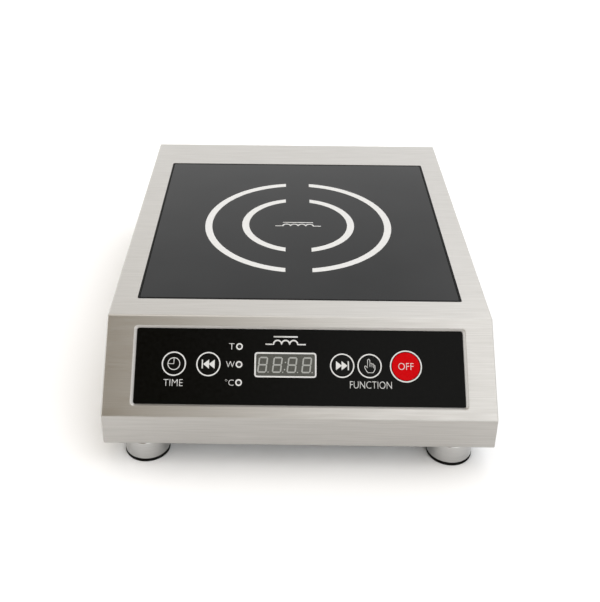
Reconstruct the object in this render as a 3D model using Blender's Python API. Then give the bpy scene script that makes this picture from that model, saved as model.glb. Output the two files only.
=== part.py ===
"""Countertop induction hob for a restaurant kitchen, at its real size.

Metres, +Z up. The controls face -Y and +X is to the right of someone who stands in front of
them. The origin is on the bench, under the middle of the whole object with its cable gland.
"""

import math

import bmesh
import bpy
from mathutils import Matrix, Vector

MM = 0.001
GAP = 0.3 * MM  # left between two pieces that touch
EDGE_BREAK = 1 * MM  # on turned parts

# Sides given to round shapes, by their size
WIDE_STEPS = 24
ROUND_STEPS = 20
NARROW_STEPS = 8

# Glass, and the steel round it
GLASS_SIDE = 280 * MM
GLASS_THICKNESS = 4 * MM
JOINT_WIDTH = 2 * MM  # silicone between the glass edge and the steel
JOINT_RECESS = 0.3 * MM
BED_THICKNESS = 0.9 * MM  # silicone under the glass
BED_REACH = 9 * MM
RIM_SIDE = 21.5 * MM
RIM_FRONT = 25.5 * MM
RIM_REAR = 54.5 * MM
OPENING_RADIUS = 2 * MM
LEDGE_THICKNESS = 1.5 * MM
LEDGE_REACH = 11 * MM
COOKING_ZONE_SHIFT = 2.3 * MM  # the zone lies this far ahead of the glass's middle

# Housing and base
SHEET = 1.2 * MM
BEND_RADIUS = 3 * MM
BEND_STEPS = 2
BAND_HEIGHT = 29 * MM  # of the upright front under the slope
SLOPE_RUN = 61 * MM
SLOPE_RISE = 59 * MM
FOOT_HEIGHT = 22 * MM  # bench to the underside of the housing
RETURN_WIDTH = 12 * MM  # flange turned in along the bottom
BASE_INSET = 4 * MM
LOUVRE_WIDTH = 4 * MM
LOUVRE_HEIGHT = 42 * MM
LOUVRE_PITCH = 9 * MM
LOUVRES_PER_GROUP = 9
LOUVRE_TO_GLAND = 56 * MM  # from the middle of the group beside the gland
LOUVRE_RISE = 48 * MM  # their middle above the underside

# Base screws, M4 with pan heads
SCREW_RADIUS = 2 * MM
SCREW_LENGTH = 7 * MM
SCREW_HEAD_RADIUS = 4 * MM
SCREW_HEAD_HEIGHT = 2.4 * MM
SCREW_EDGE = 7 * MM  # in from the side of the housing
SCREW_FROM_END = 95 * MM

# Feet: a steel cup with an M8 stud turns on a rubber pad
FOOT_RADIUS = 19 * MM
FOOT_CUP_WALL = 1.5 * MM
FOOT_CUP_ROOF = 3 * MM
FOOT_PAD_SHOWN = 2.6 * MM
FOOT_PAD_PROUD = 0.2 * MM
FOOT_PAD_CHAMFER = 0.6 * MM
FOOT_SIDE_SETBACK = 33.5 * MM  # from the sides
FOOT_SETBACK = 21.5 * MM  # from the front and the rear faces
FOOT_TRAVEL = 8 * MM
STUD_RADIUS = 4 * MM
STUD_SPARE = 2 * MM  # above the weld nut when the foot is all the way out
WELD_NUT_WALL = 2.5 * MM
WELD_NUT_HEIGHT = 6.5 * MM

# Control panel, set in the slope
PANEL_HEIGHT = 63.5 * MM
PANEL_THICKNESS = 1.5 * MM
PANEL_OVERLAP = 4 * MM  # hidden behind the steel all round
PANEL_LIP_DEPTH = 2 * MM
PANEL_LIP_FLARE = 2 * MM  # the opening is wider by this all round at the surface
PANEL_CORNER = 2 * MM
BACKING_THICKNESS = 1.5 * MM
CONTROL_BOARD_DEPTH = 14 * MM  # below the slope's surface
CONTROL_BOARD_THICKNESS = 1.6 * MM
CONTROL_BOARD_INSET = 4 * MM
BOARD_POST_RADIUS = 2.5 * MM
BOARD_POST_INSET = (7.5 * MM, 10 * MM)
SWITCH_SIDE = 6 * MM
SWITCH_HEIGHT = 3.5 * MM
SWITCH_PIN_RADIUS = 1.7 * MM
SWITCH_PIN_HEIGHT = 0.7 * MM

# What is on the panel; the row of keys is a little above the panel's middle
KEY_ROW = 1.7 * MM
KEY_RADIUS = 10.2 * MM  # of the printed ring round a key
KEY_OFF_RADIUS = 13.4 * MM
KEY_RING = 1.3 * MM
KEY_FLANGE = 1.2 * MM
KEY_FLANGE_THICKNESS = 0.8 * MM
KEY_STEM_RADIUS = 2.5 * MM
KEY_TRAVEL = 0.5 * MM
DISPLAY_WIDTH = 52 * MM
DISPLAY_HEIGHT = 21 * MM
DISPLAY_FRAME = 1.3 * MM
DISPLAY_CORNER = 1.2 * MM
LED_PITCH = 15.1 * MM
LED_HOLE_RADIUS = 1.5 * MM
LED_BODY_RADIUS = 2 * MM
LEDS = ("led_timer", "led_power", "led_temperature")

# Spaces along the row, from the panel's left edge to its right edge
EDGE_TO_TIME = 22.15 * MM
TIME_TO_DOWN = 8.6 * MM
DOWN_TO_LED = 15.5 * MM
LED_TO_DISPLAY = 12.9 * MM
DISPLAY_TO_UP = 11.4 * MM
UP_TO_FUNCTION = 2.5 * MM
FUNCTION_TO_OFF = 6.8 * MM
OFF_TO_EDGE = 35.25 * MM

# Induction coil, sprung against the glass
COIL_RADIUS = 100 * MM
COIL_HOLE_RADIUS = 20 * MM
COIL_TURNS = 11
WIRE_STEPS = 16  # to a turn
WIRE_WIDTH = 5.4 * MM
WIRE_HEIGHT = 3.4 * MM
MICA_THICKNESS = 0.5 * MM
FORMER_THICKNESS = 2.5 * MM
FORMER_RIM = 2 * MM
FERRITES = 6
FERRITE_LENGTH = 58 * MM
FERRITE_WIDTH = 14 * MM
FERRITE_HEIGHT = 5 * MM
COIL_PLATE_THICKNESS = 1.5 * MM
SENSOR_RADIUS = 5 * MM
SENSOR_FOOT_RADIUS = 8 * MM
SENSOR_FOOT_HEIGHT = 2 * MM
SPRING_RADIUS = 5 * MM
SPRING_WIRE = 1.2 * MM
SPRING_HEIGHT = 16 * MM
SPRING_TURNS = 4
SPRING_STEPS = 8  # to a turn
SPRING_WIRE_SIDES = 4
SPRING_CIRCLE = 50 * MM
BRIDGE_THICKNESS = 1.5 * MM
BRIDGE_DEPTH = 118 * MM
BRIDGE_FOOT = 12 * MM
BRIDGE_CLEARANCE = 5 * MM

# Fans, blowing up through the base
FAN_SIDE = 92 * MM
FAN_HEIGHT = 25 * MM
FAN_BORE_RADIUS = 44 * MM
FAN_TIP_GAP = 2 * MM
FAN_HUB_RADIUS = 17 * MM
FAN_HUB_CHAMFER = 2 * MM
FAN_MOUNT_HEIGHT = 3 * MM
FAN_STRUT = 5 * MM
FAN_HOLE_RADIUS = 2.2 * MM
FAN_HOLE_INSET = 5 * MM
FAN_SPACE = 28 * MM  # between the two
FAN_SETBACK = 72 * MM  # from the front face
FAN_BLADES = 7
VENT_STEPS = 5  # to a quarter
BLADE_THICKNESS = 1.2 * MM
BLADE_CHORD = (13 * MM, 19 * MM)  # root, tip
BLADE_PITCH = (math.radians(40), math.radians(26))
GRILLE_SLOT = 4 * MM
GRILLE_PITCH = 10 * MM
GRILLE_BRIDGE = 8 * MM

# Power electronics, on a board over the base
BOARD_SIDE_SPACE = 53.5 * MM  # from the board to the side of the housing
BOARD_THICKNESS = 1.6 * MM
BOARD_STANDOFF = 8 * MM
STANDOFF_RADIUS = 3 * MM
STANDOFF_INSET = 8 * MM
BOARD_FAN_SPACE = 6 * MM
REAR_SPACE = 85 * MM  # behind the board, to the rear face
PACKAGE_THICKNESS = 5 * MM
PACKAGES = {
    "igbt_1": (-32 * MM, 16 * MM),
    "bridge_rectifier": (0, 24 * MM),
    "igbt_2": (32 * MM, 16 * MM),
}
PACKAGE_DEPTH = 20 * MM
PACKAGE_LEAD = 1.2 * MM
PACKAGE_LEAD_LENGTH = 5 * MM
HEATSINK_WIDTH = 112 * MM
HEATSINK_DEPTH = 92 * MM
HEATSINK_BASE = 5 * MM
HEATSINK_FINS = 11
HEATSINK_FIN = 2 * MM
HEATSINK_HEADROOM = 3 * MM
REAR_ROW = 24 * MM  # middle of the tall parts, ahead of the board's rear edge
CAN_CORNER = 2 * MM
SMOOTHING_X = -74 * MM
SMOOTHING_SIZE = (42 * MM, 26 * MM, 36 * MM)
RESONANT_X = -20 * MM
RESONANT_SIZE = (38 * MM, 20 * MM, 32 * MM)
CHOKE_X = 58 * MM
CHOKE_RADIUS = 18 * MM
CHOKE_HOLE_RADIUS = 7 * MM
CHOKE_HEIGHT = 15 * MM
CHOKE_ROUNDING = 3 * MM

# Mains inlet: an M20 cable gland and the terminals behind it
GLAND_SIDE_SETBACK = 45.5 * MM
GLAND_RISE = 22 * MM  # above the underside
GLAND_THREAD_RADIUS = 10 * MM
GLAND_HEX_WALL = 2 * MM  # from the thread to a flat
GLAND_HEX_LENGTH = 6 * MM
GLAND_TAIL = 9 * MM  # thread inside the housing
GLAND_NECK_STEP = 1.5 * MM  # from the thread in to the neck
GLAND_NECK_LENGTH = 9 * MM
GLAND_NECK_WALL = 2.5 * MM
GLAND_CAP_WALL = 3 * MM
GLAND_CAP_TAPER = (3 * MM, 4 * MM)  # inward, along
GLAND_CAP_LENGTH = 15 * MM
GLAND_NUT_LENGTH = 5 * MM
TERMINAL_SIZE = (36 * MM, 20 * MM, 18 * MM)
TERMINAL_SETBACK = 58 * MM  # from the rear face
TERMINAL_TO_GLAND = 44 * MM
TERMINAL_HOLE_RADIUS = 2.6 * MM
TERMINAL_HOLE_DEPTH = 9 * MM

# Worked out from the sizes above
OPENING = GLASS_SIDE + 2 * JOINT_WIDTH
WIDTH = OPENING + 2 * RIM_SIDE
DEPTH = SLOPE_RUN + RIM_FRONT + OPENING + RIM_REAR
TOP = FOOT_HEIGHT + BAND_HEIGHT + SLOPE_RISE
GLAND_REACH = GAP + GLAND_HEX_LENGTH + GAP + GLAND_CAP_LENGTH
FRONT = -(DEPTH + GLAND_REACH) / 2
BACK = FRONT + DEPTH
MIDDLE = (FRONT + BACK) / 2
FOLD = FRONT + SLOPE_RUN
GLASS_Y = FOLD + RIM_FRONT + OPENING / 2
COIL_Y = GLASS_Y - COOKING_ZONE_SHIFT
SLOPE_ANGLE = math.atan2(SLOPE_RISE, SLOPE_RUN)
PANEL_DROP = math.hypot(SLOPE_RUN, SLOPE_RISE) / 2  # from the fold to the panel's middle
PANEL_FACE = -PANEL_LIP_DEPTH - GAP
PANEL_BACK = PANEL_FACE - PANEL_THICKNESS
BACKING_FACE = PANEL_BACK - GAP
BACKING_BACK = BACKING_FACE - BACKING_THICKNESS
CONTROL_BOARD_TOP = -CONTROL_BOARD_DEPTH
SWITCH_TOP = CONTROL_BOARD_TOP + SWITCH_HEIGHT + SWITCH_PIN_HEIGHT
GLASS_BOTTOM = TOP - GLASS_THICKNESS
BED_TOP = GLASS_BOTTOM - GAP
LEDGE_TOP = BED_TOP - BED_THICKNESS - GAP
MICA_TOP = GLASS_BOTTOM - GAP
WIRE_TOP = MICA_TOP - MICA_THICKNESS - GAP
FORMER_TOP = WIRE_TOP - WIRE_HEIGHT - GAP
FERRITE_TOP = FORMER_TOP - FORMER_THICKNESS - GAP
COIL_PLATE_TOP = FERRITE_TOP - FERRITE_HEIGHT - GAP
SPRING_TOP = COIL_PLATE_TOP - COIL_PLATE_THICKNESS - GAP
BRIDGE_TOP = SPRING_TOP - SPRING_HEIGHT - GAP
BASE_TOP = FOOT_HEIGHT - GAP
BASE_BOTTOM = BASE_TOP - SHEET
ON_BASE = BASE_TOP + GAP
FAN_X = (FAN_SIDE + FAN_SPACE) / 2
FAN_Y = FRONT + FAN_SETBACK + FAN_SIDE / 2
BOARD_HALF_WIDTH = WIDTH / 2 - BOARD_SIDE_SPACE
BOARD_BOTTOM = BASE_TOP + BOARD_STANDOFF + GAP
ON_BOARD = BOARD_BOTTOM + BOARD_THICKNESS + GAP
BOARD_FRONT = FAN_Y + FAN_SIDE / 2 + BOARD_FAN_SPACE
BOARD_REAR = BACK - REAR_SPACE
FOOT_X = WIDTH / 2 - FOOT_SIDE_SETBACK
WELD_NUT_WIDTH = 2 * (STUD_RADIUS + WELD_NUT_WALL)
GLAND_HEX = 2 * (GLAND_THREAD_RADIUS + GLAND_HEX_WALL)
GLAND_NECK_RADIUS = GLAND_THREAD_RADIUS - GLAND_NECK_STEP
GLAND_BORE_RADIUS = GLAND_NECK_RADIUS - GLAND_NECK_WALL
GLAND_CAP_RADIUS = GLAND_NECK_RADIUS + GLAND_CAP_WALL
GLAND_X = WIDTH / 2 - GLAND_SIDE_SETBACK
GLAND_Z = FOOT_HEIGHT + GLAND_RISE
LOUVRE_GROUP_X = GLAND_X - LOUVRE_TO_GLAND
TERMINAL_X = GLAND_X - TERMINAL_TO_GLAND

# Along the row of keys, measured from the panel's left edge, then from its middle
TIME_AT = EDGE_TO_TIME + KEY_RADIUS
DOWN_AT = TIME_AT + 2 * KEY_RADIUS + TIME_TO_DOWN
LED_AT = DOWN_AT + KEY_RADIUS + DOWN_TO_LED
DISPLAY_AT = LED_AT + LED_TO_DISPLAY + DISPLAY_WIDTH / 2
UP_AT = DISPLAY_AT + DISPLAY_WIDTH / 2 + DISPLAY_TO_UP + KEY_RADIUS
FUNCTION_AT = UP_AT + 2 * KEY_RADIUS + UP_TO_FUNCTION
OFF_AT = FUNCTION_AT + KEY_RADIUS + FUNCTION_TO_OFF + KEY_OFF_RADIUS
PANEL_WIDTH = OFF_AT + KEY_OFF_RADIUS + OFF_TO_EDGE
LED_X = LED_AT - PANEL_WIDTH / 2
DISPLAY_X = DISPLAY_AT - PANEL_WIDTH / 2
KEYS = {
    "key_time": (TIME_AT - PANEL_WIDTH / 2, KEY_RADIUS),
    "key_down": (DOWN_AT - PANEL_WIDTH / 2, KEY_RADIUS),
    "key_up": (UP_AT - PANEL_WIDTH / 2, KEY_RADIUS),
    "key_function": (FUNCTION_AT - PANEL_WIDTH / 2, KEY_RADIUS),
    "key_off": (OFF_AT - PANEL_WIDTH / 2, KEY_OFF_RADIUS),
}

FEET = {
    f"{end}_{side}": (x, y)
    for end, y in (("front", FRONT + FOOT_SETBACK), ("rear", BACK - FOOT_SETBACK))
    for side, x in (("left", -FOOT_X), ("right", FOOT_X))
}
SCREWS = {
    f"{end}_{side}": (x, y)
    for end, y in (("front", FRONT + SCREW_FROM_END), ("rear", BACK - SCREW_FROM_END))
    for side, x in (("left", SCREW_EDGE - WIDTH / 2), ("right", WIDTH / 2 - SCREW_EDGE))
}
FANS = {"left": -FAN_X, "right": FAN_X}

# Turns for shapes that are drawn in the XY plane and built up along Z
SIDEWAYS = Matrix(((0, 0, 1, 0), (1, 0, 0, 0), (0, 1, 0, 0), (0, 0, 0, 1)))  # X, Y to Y, Z
UPRIGHT = Matrix.Rotation(math.radians(90), 4, "X")  # X, Y to X, Z; up becomes -Y
BACKWARDS = Matrix.Rotation(math.radians(-90), 4, "X")  # up becomes +Y

# Colour, metallic, roughness
STAINLESS = ((0.62, 0.61, 0.59), 1.0, 0.32)
ALUMINIUM = ((0.72, 0.73, 0.74), 1.0, 0.38)
GALVANISED = ((0.55, 0.57, 0.58), 1.0, 0.45)
SPRING_STEEL = ((0.45, 0.45, 0.46), 1.0, 0.30)
COPPER = ((0.72, 0.36, 0.18), 1.0, 0.35)
BLACK_GLASS = ((0.02, 0.02, 0.022), 0.0, 0.06)
PANEL_BLACK = ((0.012, 0.012, 0.012), 0.0, 0.15)
KEY_RED = ((0.72, 0.01, 0.02), 0.0, 0.25)
DISPLAY_GREY = ((0.12, 0.12, 0.12), 0.0, 0.30)
LED_CLEAR = ((0.05, 0.05, 0.05), 0.0, 0.15)
SILICONE = ((0.01, 0.01, 0.01), 0.0, 0.55)
RUBBER = ((0.015, 0.015, 0.015), 0.0, 0.75)
BLACK_PLASTIC = ((0.02, 0.02, 0.02), 0.0, 0.45)
WHITE_PLASTIC = ((0.75, 0.74, 0.70), 0.0, 0.50)
MICA = ((0.60, 0.52, 0.38), 0.0, 0.60)
FERRITE = ((0.05, 0.05, 0.055), 0.0, 0.55)
BOARD_GREEN = ((0.02, 0.16, 0.07), 0.0, 0.45)
CAPACITOR_YELLOW = ((0.75, 0.55, 0.08), 0.0, 0.40)


def add_block(bm, low, high, at=Matrix()):
    """Adds a box between two corners and returns its vertices."""
    size = Vector(high) - Vector(low)
    middle = (Vector(high) + Vector(low)) / 2
    place = at @ Matrix.Translation(middle) @ Matrix.Diagonal((*size, 1))
    return bmesh.ops.create_cube(bm, size=1, matrix=place)["verts"]


def add_prism(bm, outline, low, high, at=Matrix()):
    """Adds an outline in XY extruded along Z, then turned by at, and returns its vertices."""
    ring = [bm.verts.new((x, y, low)) for x, y in outline]
    bottom = bm.faces.new(ring)
    grown = bmesh.ops.extrude_face_region(bm, geom=[bottom])["geom"]
    upper = [part for part in grown if isinstance(part, bmesh.types.BMVert)]
    bmesh.ops.translate(bm, verts=upper, vec=(0, 0, high - low))
    bmesh.ops.transform(bm, matrix=at, verts=ring + upper)
    return ring + upper


def add_turned(bm, profile, steps, at=Matrix()):
    """Adds a profile of (radius, height) points spun about Z; one that starts on the axis ends on it."""
    points = [bm.verts.new((radius, 0, height)) for radius, height in profile]
    pairs = list(zip(points, points[1:]))
    if profile[0][0] > 0:
        pairs.append((points[-1], points[0]))
    edges = [bm.edges.new(pair) for pair in pairs]
    known = set(bm.verts) - set(points)
    bmesh.ops.spin(
        bm,
        geom=points + edges,
        cent=(0, 0, 0),
        axis=(0, 0, 1),
        angle=2 * math.pi,
        steps=steps,
        use_merge=True,
    )
    spun = [vertex for vertex in bm.verts if vertex not in known]
    bmesh.ops.remove_doubles(bm, verts=spun, dist=0.001 * MM)
    spun = [vertex for vertex in bm.verts if vertex not in known]
    bmesh.ops.transform(bm, matrix=at, verts=spun)


def add_tube(bm, inner, outer, low, high, steps, at=Matrix()):
    """Adds a plain ring about Z."""
    add_turned(bm, [(outer, high), (outer, low), (inner, low), (inner, high)], steps, at)


def add_rod(bm, radius, low, high, steps, at=Matrix()):
    """Adds a plain cylinder about Z."""
    add_turned(bm, [(0, high), (radius, high), (radius, low), (0, low)], steps, at)


def add_wound(bm, radii, heights, turns, steps, section, at=Matrix()):
    """Adds a bar of (outward, up) section points wound about Z, from radii[0] to radii[1]."""
    rings = []
    count = turns * steps
    for index in range(count + 1):
        share = index / count
        angle = 2 * math.pi * turns * share
        radius = radii[0] + (radii[1] - radii[0]) * share
        height = heights[0] + (heights[1] - heights[0]) * share
        outward = Vector((math.cos(angle), math.sin(angle), 0))
        ring = [at @ (outward * (radius + out) + Vector((0, 0, height + up))) for out, up in section]
        rings.append([bm.verts.new(point) for point in ring])
    for here, ahead in zip(rings, rings[1:]):
        for side in range(len(section)):
            after = (side + 1) % len(section)
            bm.faces.new((here[side], here[after], ahead[after], ahead[side]))
    bm.faces.new(rings[0])
    bm.faces.new(rings[-1])


def rounded(width, height, radius, steps=2, middle=(0, 0)):
    """The outline of a rectangle with round corners, anticlockwise."""
    outline = []
    for quarter, (side, end) in enumerate(((1, 1), (-1, 1), (-1, -1), (1, -1))):
        centre_x = middle[0] + side * (width / 2 - radius)
        centre_y = middle[1] + end * (height / 2 - radius)
        for step in range(steps + 1):
            angle = math.radians(90) * (quarter + step / steps)
            outline.append((centre_x + radius * math.cos(angle), centre_y + radius * math.sin(angle)))
    return outline


def polygon(radius, sides, turn=0.0):
    """A regular outline about the origin."""
    angles = [turn + 2 * math.pi * side / sides for side in range(sides)]
    return [(radius * math.cos(angle), radius * math.sin(angle)) for angle in angles]


def hexagon(across_flats):
    """A nut's outline."""
    return polygon(across_flats / math.sqrt(3), 6)


def own_material(name, finish):
    """A Principled material for one piece."""
    colour, metallic, roughness = finish
    material = bpy.data.materials.new(name)
    material.use_nodes = True
    shader = material.node_tree.nodes["Principled BSDF"]
    shader.inputs["Base Color"].default_value = (*colour, 1)
    shader.inputs["Metallic"].default_value = metallic
    shader.inputs["Roughness"].default_value = roughness
    return material


def add_object(name, bm, parent, location):
    """Links a mesh object made from the shape, with its faces pointing out."""
    bmesh.ops.recalc_face_normals(bm, faces=bm.faces[:])
    mesh = bpy.data.meshes.new(name)
    bm.to_mesh(mesh)
    bm.free()
    item = bpy.data.objects.new(name, mesh)
    bpy.context.scene.collection.objects.link(item)
    item.parent = parent
    item.location = location
    return item


def piece(name, bm, finish, parent=None, location=(0, 0, 0)):
    """One sub-part with a material of its own."""
    item = add_object(name, bm, parent, location)
    item.data.materials.append(own_material(name, finish))
    item.data.shade_smooth()
    item.data.set_sharp_from_angle(angle=math.radians(35))
    return item


def combine(item, operation, name, bm, parent=None, location=(0, 0, 0)):
    """Cuts a helper shape from a piece, or joins one to it."""
    helper = add_object(name, bm, parent, location)
    helper.hide_render = True
    helper.display_type = "WIRE"
    modifier = item.modifiers.new(name, "BOOLEAN")
    modifier.operation = operation
    modifier.solver = "EXACT"
    modifier.object = helper


def empty(name, location=(0, 0, 0), turn=0.0):
    """A placing frame, turned about X."""
    item = bpy.data.objects.new(name, None)
    bpy.context.scene.collection.objects.link(item)
    item.location = location
    item.rotation_euler = (turn, 0, 0)
    return item


def clear_scene():
    """Removes whatever the scene starts with."""
    for item in list(bpy.data.objects):
        bpy.data.objects.remove(item)


def make_housing(slope):
    """The folded and welded upper shell, with its openings."""
    profile = [
        (FRONT, FOOT_HEIGHT),
        (BACK, FOOT_HEIGHT),
        (BACK, TOP),
        (FOLD, TOP),
        (FRONT, TOP - SLOPE_RISE),
    ]
    skin = bmesh.new()
    add_prism(skin, profile, -WIDTH / 2, WIDTH / 2, SIDEWAYS)
    bmesh.ops.recalc_face_normals(skin, faces=skin.faces[:])
    bmesh.ops.bevel(
        skin,
        geom=skin.edges[:],
        offset=BEND_RADIUS,
        offset_type="OFFSET",
        segments=BEND_STEPS,
        profile=0.5,
        affect="EDGES",
    )
    underside = min(skin.faces, key=lambda face: (round(face.normal.z, 3), -face.calc_area()))
    bmesh.ops.inset_individual(skin, faces=[underside], thickness=RETURN_WIDTH - BEND_RADIUS)
    bmesh.ops.delete(skin, geom=[underside], context="FACES_ONLY")
    housing = piece("housing", skin, STAINLESS)
    walls = housing.modifiers.new("walls", "SOLIDIFY")
    walls.thickness = SHEET
    walls.offset = -1
    walls.use_even_offset = True

    lip_width = PANEL_WIDTH + 2 * PANEL_OVERLAP
    lip_height = PANEL_HEIGHT + 2 * PANEL_OVERLAP
    lip = bmesh.new()
    add_prism(lip, rounded(lip_width, lip_height, PANEL_CORNER), -PANEL_LIP_DEPTH, -SHEET / 2)
    combine(housing, "UNION", "panel_lip", lip, slope, (0, -PANEL_DROP, 0))
    combine(housing, "DIFFERENCE", "panel_opening", flared_opening(), slope, (0, -PANEL_DROP, 0))

    holes = bmesh.new()
    top_outline = rounded(OPENING, OPENING, OPENING_RADIUS, middle=(0, GLASS_Y))
    add_prism(holes, top_outline, TOP - 2 * SHEET, TOP + SHEET)
    slot = rounded(LOUVRE_WIDTH, LOUVRE_HEIGHT, LOUVRE_WIDTH / 2, steps=1)
    for group in (-LOUVRE_GROUP_X, LOUVRE_GROUP_X):
        for index in range(LOUVRES_PER_GROUP):
            x = group + (index - (LOUVRES_PER_GROUP - 1) / 2) * LOUVRE_PITCH
            place = Matrix.Translation((x, BACK, FOOT_HEIGHT + LOUVRE_RISE))
            add_prism(holes, slot, -2 * SHEET, SHEET, place @ BACKWARDS)
    gland_place = Matrix.Translation((GLAND_X, BACK, GLAND_Z))
    add_rod(holes, GLAND_THREAD_RADIUS + GAP, -2 * SHEET, SHEET, ROUND_STEPS, gland_place @ BACKWARDS)
    for x, y in SCREWS.values():
        place = Matrix.Translation((x, y, FOOT_HEIGHT))
        add_rod(holes, SCREW_RADIUS + GAP, -SHEET, 2 * SHEET, NARROW_STEPS, place)
    combine(housing, "DIFFERENCE", "housing_holes", holes)


def flared_opening():
    """The panel's opening, wider at the surface than at the panel, from the panel's middle."""
    flare = PANEL_LIP_FLARE / PANEL_LIP_DEPTH
    levels = (-2 * PANEL_LIP_DEPTH, -PANEL_LIP_DEPTH, SHEET)
    rings = []
    bm = bmesh.new()
    for level in levels:
        more = 2 * flare * max(level + PANEL_LIP_DEPTH, 0)
        outline = rounded(PANEL_WIDTH + more, PANEL_HEIGHT + more, PANEL_CORNER + more / 2)
        rings.append([bm.verts.new((x, y, level)) for x, y in outline])
    for lower, upper in zip(rings, rings[1:]):
        for index, corner in enumerate(lower):
            after = (index + 1) % len(lower)
            bm.faces.new((corner, lower[after], upper[after], upper[index]))
    bm.faces.new(rings[0])
    bm.faces.new(rings[-1])
    return bm


def make_glass():
    """The glass plate, its silicone and the ledge that carries it."""
    glass = bmesh.new()
    outline = rounded(GLASS_SIDE, GLASS_SIDE, OPENING_RADIUS)
    add_prism(glass, outline, -GLASS_THICKNESS, 0)
    piece("glass_plate", glass, BLACK_GLASS, location=(0, GLASS_Y, TOP))

    seal_side = OPENING - 2 * GAP
    seal = bmesh.new()
    outline = rounded(seal_side, seal_side, OPENING_RADIUS)
    add_prism(seal, outline, BED_TOP - BED_THICKNESS - TOP, -JOINT_RECESS)
    seal_item = piece("glass_seal", seal, SILICONE, location=(0, GLASS_Y, TOP))
    hollow = bmesh.new()
    pocket = GLASS_SIDE + 2 * GAP
    add_prism(hollow, rounded(pocket, pocket, OPENING_RADIUS + GAP), BED_TOP - TOP, SHEET)
    combine(seal_item, "DIFFERENCE", "seal_pocket", hollow, location=(0, GLASS_Y, TOP))
    through = bmesh.new()
    half = GLASS_SIDE / 2 - BED_REACH
    add_block(through, (-half, -half, -2 * GLASS_THICKNESS), (half, half, SHEET))
    combine(seal_item, "DIFFERENCE", "seal_window", through, location=(0, GLASS_Y, TOP))

    inner = OPENING / 2 + GAP
    outer = inner + LEDGE_THICKNESS
    ledge = bmesh.new()
    add_block(
        ledge,
        (-outer, -outer, LEDGE_TOP - LEDGE_THICKNESS - TOP),
        (outer, outer, -SHEET - GAP),
    )
    ledge_item = piece("glass_ledge", ledge, STAINLESS, location=(0, GLASS_Y, TOP))
    pocket = bmesh.new()
    add_block(pocket, (-inner, -inner, LEDGE_TOP - TOP), (inner, inner, SHEET))
    combine(ledge_item, "DIFFERENCE", "ledge_pocket", pocket, location=(0, GLASS_Y, TOP))
    window = bmesh.new()
    half = GLASS_SIDE / 2 - LEDGE_REACH
    add_block(window, (-half, -half, -3 * GLASS_THICKNESS), (half, half, SHEET))
    combine(ledge_item, "DIFFERENCE", "ledge_window", window, location=(0, GLASS_Y, TOP))


def make_base():
    """The base plate with its grilles, weld nuts and board standoffs."""
    plate = bmesh.new()
    side = WIDTH - 2 * BASE_INSET
    length = DEPTH - 2 * BASE_INSET
    add_prism(plate, rounded(side, length, BEND_RADIUS), -SHEET, 0)
    base = piece("base_plate", plate, GALVANISED, location=(0, MIDDLE, BASE_TOP))

    studs = bmesh.new()
    for x, y in FEET.values():
        place = Matrix.Translation((x, y, BASE_TOP))
        add_prism(studs, hexagon(WELD_NUT_WIDTH), -SHEET / 2, WELD_NUT_HEIGHT, place)
    for x, y in standoff_places():
        place = Matrix.Translation((x, y, BASE_TOP))
        add_rod(studs, STANDOFF_RADIUS, -SHEET / 2, BOARD_STANDOFF, NARROW_STEPS, place)
    combine(base, "UNION", "base_studs", studs)

    holes = bmesh.new()
    for x, y in FEET.values():
        place = Matrix.Translation((x, y, BASE_TOP))
        add_rod(holes, STUD_RADIUS + GAP, -2 * SHEET, WELD_NUT_HEIGHT + SHEET, ROUND_STEPS, place)
    for x, y in SCREWS.values():
        place = Matrix.Translation((x, y, BASE_TOP))
        add_rod(holes, SCREW_RADIUS + GAP, -2 * SHEET, SHEET, NARROW_STEPS, place)
    for x in FANS.values():
        add_grille(holes, x)
    combine(base, "DIFFERENCE", "base_holes", holes)


def standoff_places():
    """Where the power board stands on the base plate."""
    x = BOARD_HALF_WIDTH - STANDOFF_INSET
    ends = (BOARD_FRONT + STANDOFF_INSET, BOARD_REAR - STANDOFF_INSET)
    return [(side * x, y) for side in (-1, 1) for y in ends]


def add_grille(bm, x):
    """Adds one fan's round field of straight slots, each with a bridge in its middle."""
    reach = FAN_BORE_RADIUS - GRILLE_SLOT
    rows = int(reach // GRILLE_PITCH)
    for row in range(-rows, rows + 1):
        offset = row * GRILLE_PITCH
        half = math.sqrt(reach**2 - offset**2)
        length = half - GRILLE_BRIDGE / 2
        if length < 2 * GRILLE_SLOT:
            continue
        for side in (-1, 1):
            middle = (x + side * (GRILLE_BRIDGE / 2 + length / 2), FAN_Y + offset)
            slot = rounded(length, GRILLE_SLOT, GRILLE_SLOT / 2, steps=1, middle=middle)
            add_prism(bm, slot, BASE_TOP - 2 * SHEET, BASE_TOP + SHEET)


def make_screws():
    """The screws that hold the base plate to the housing's flanges."""
    shank_top = SCREW_LENGTH
    head_bottom = -SCREW_HEAD_HEIGHT
    for place, (x, y) in SCREWS.items():
        screw = bmesh.new()
        profile = [
            (0, shank_top),
            (SCREW_RADIUS, shank_top),
            (SCREW_RADIUS, 0),
            (SCREW_HEAD_RADIUS, 0),
            (SCREW_HEAD_RADIUS, head_bottom / 2),
            (SCREW_HEAD_RADIUS * 0.6, head_bottom),
            (0, head_bottom),
        ]
        add_turned(screw, profile, NARROW_STEPS)
        piece(f"base_screw_{place}", screw, STAINLESS, location=(x, y, BASE_BOTTOM - GAP))


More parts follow.
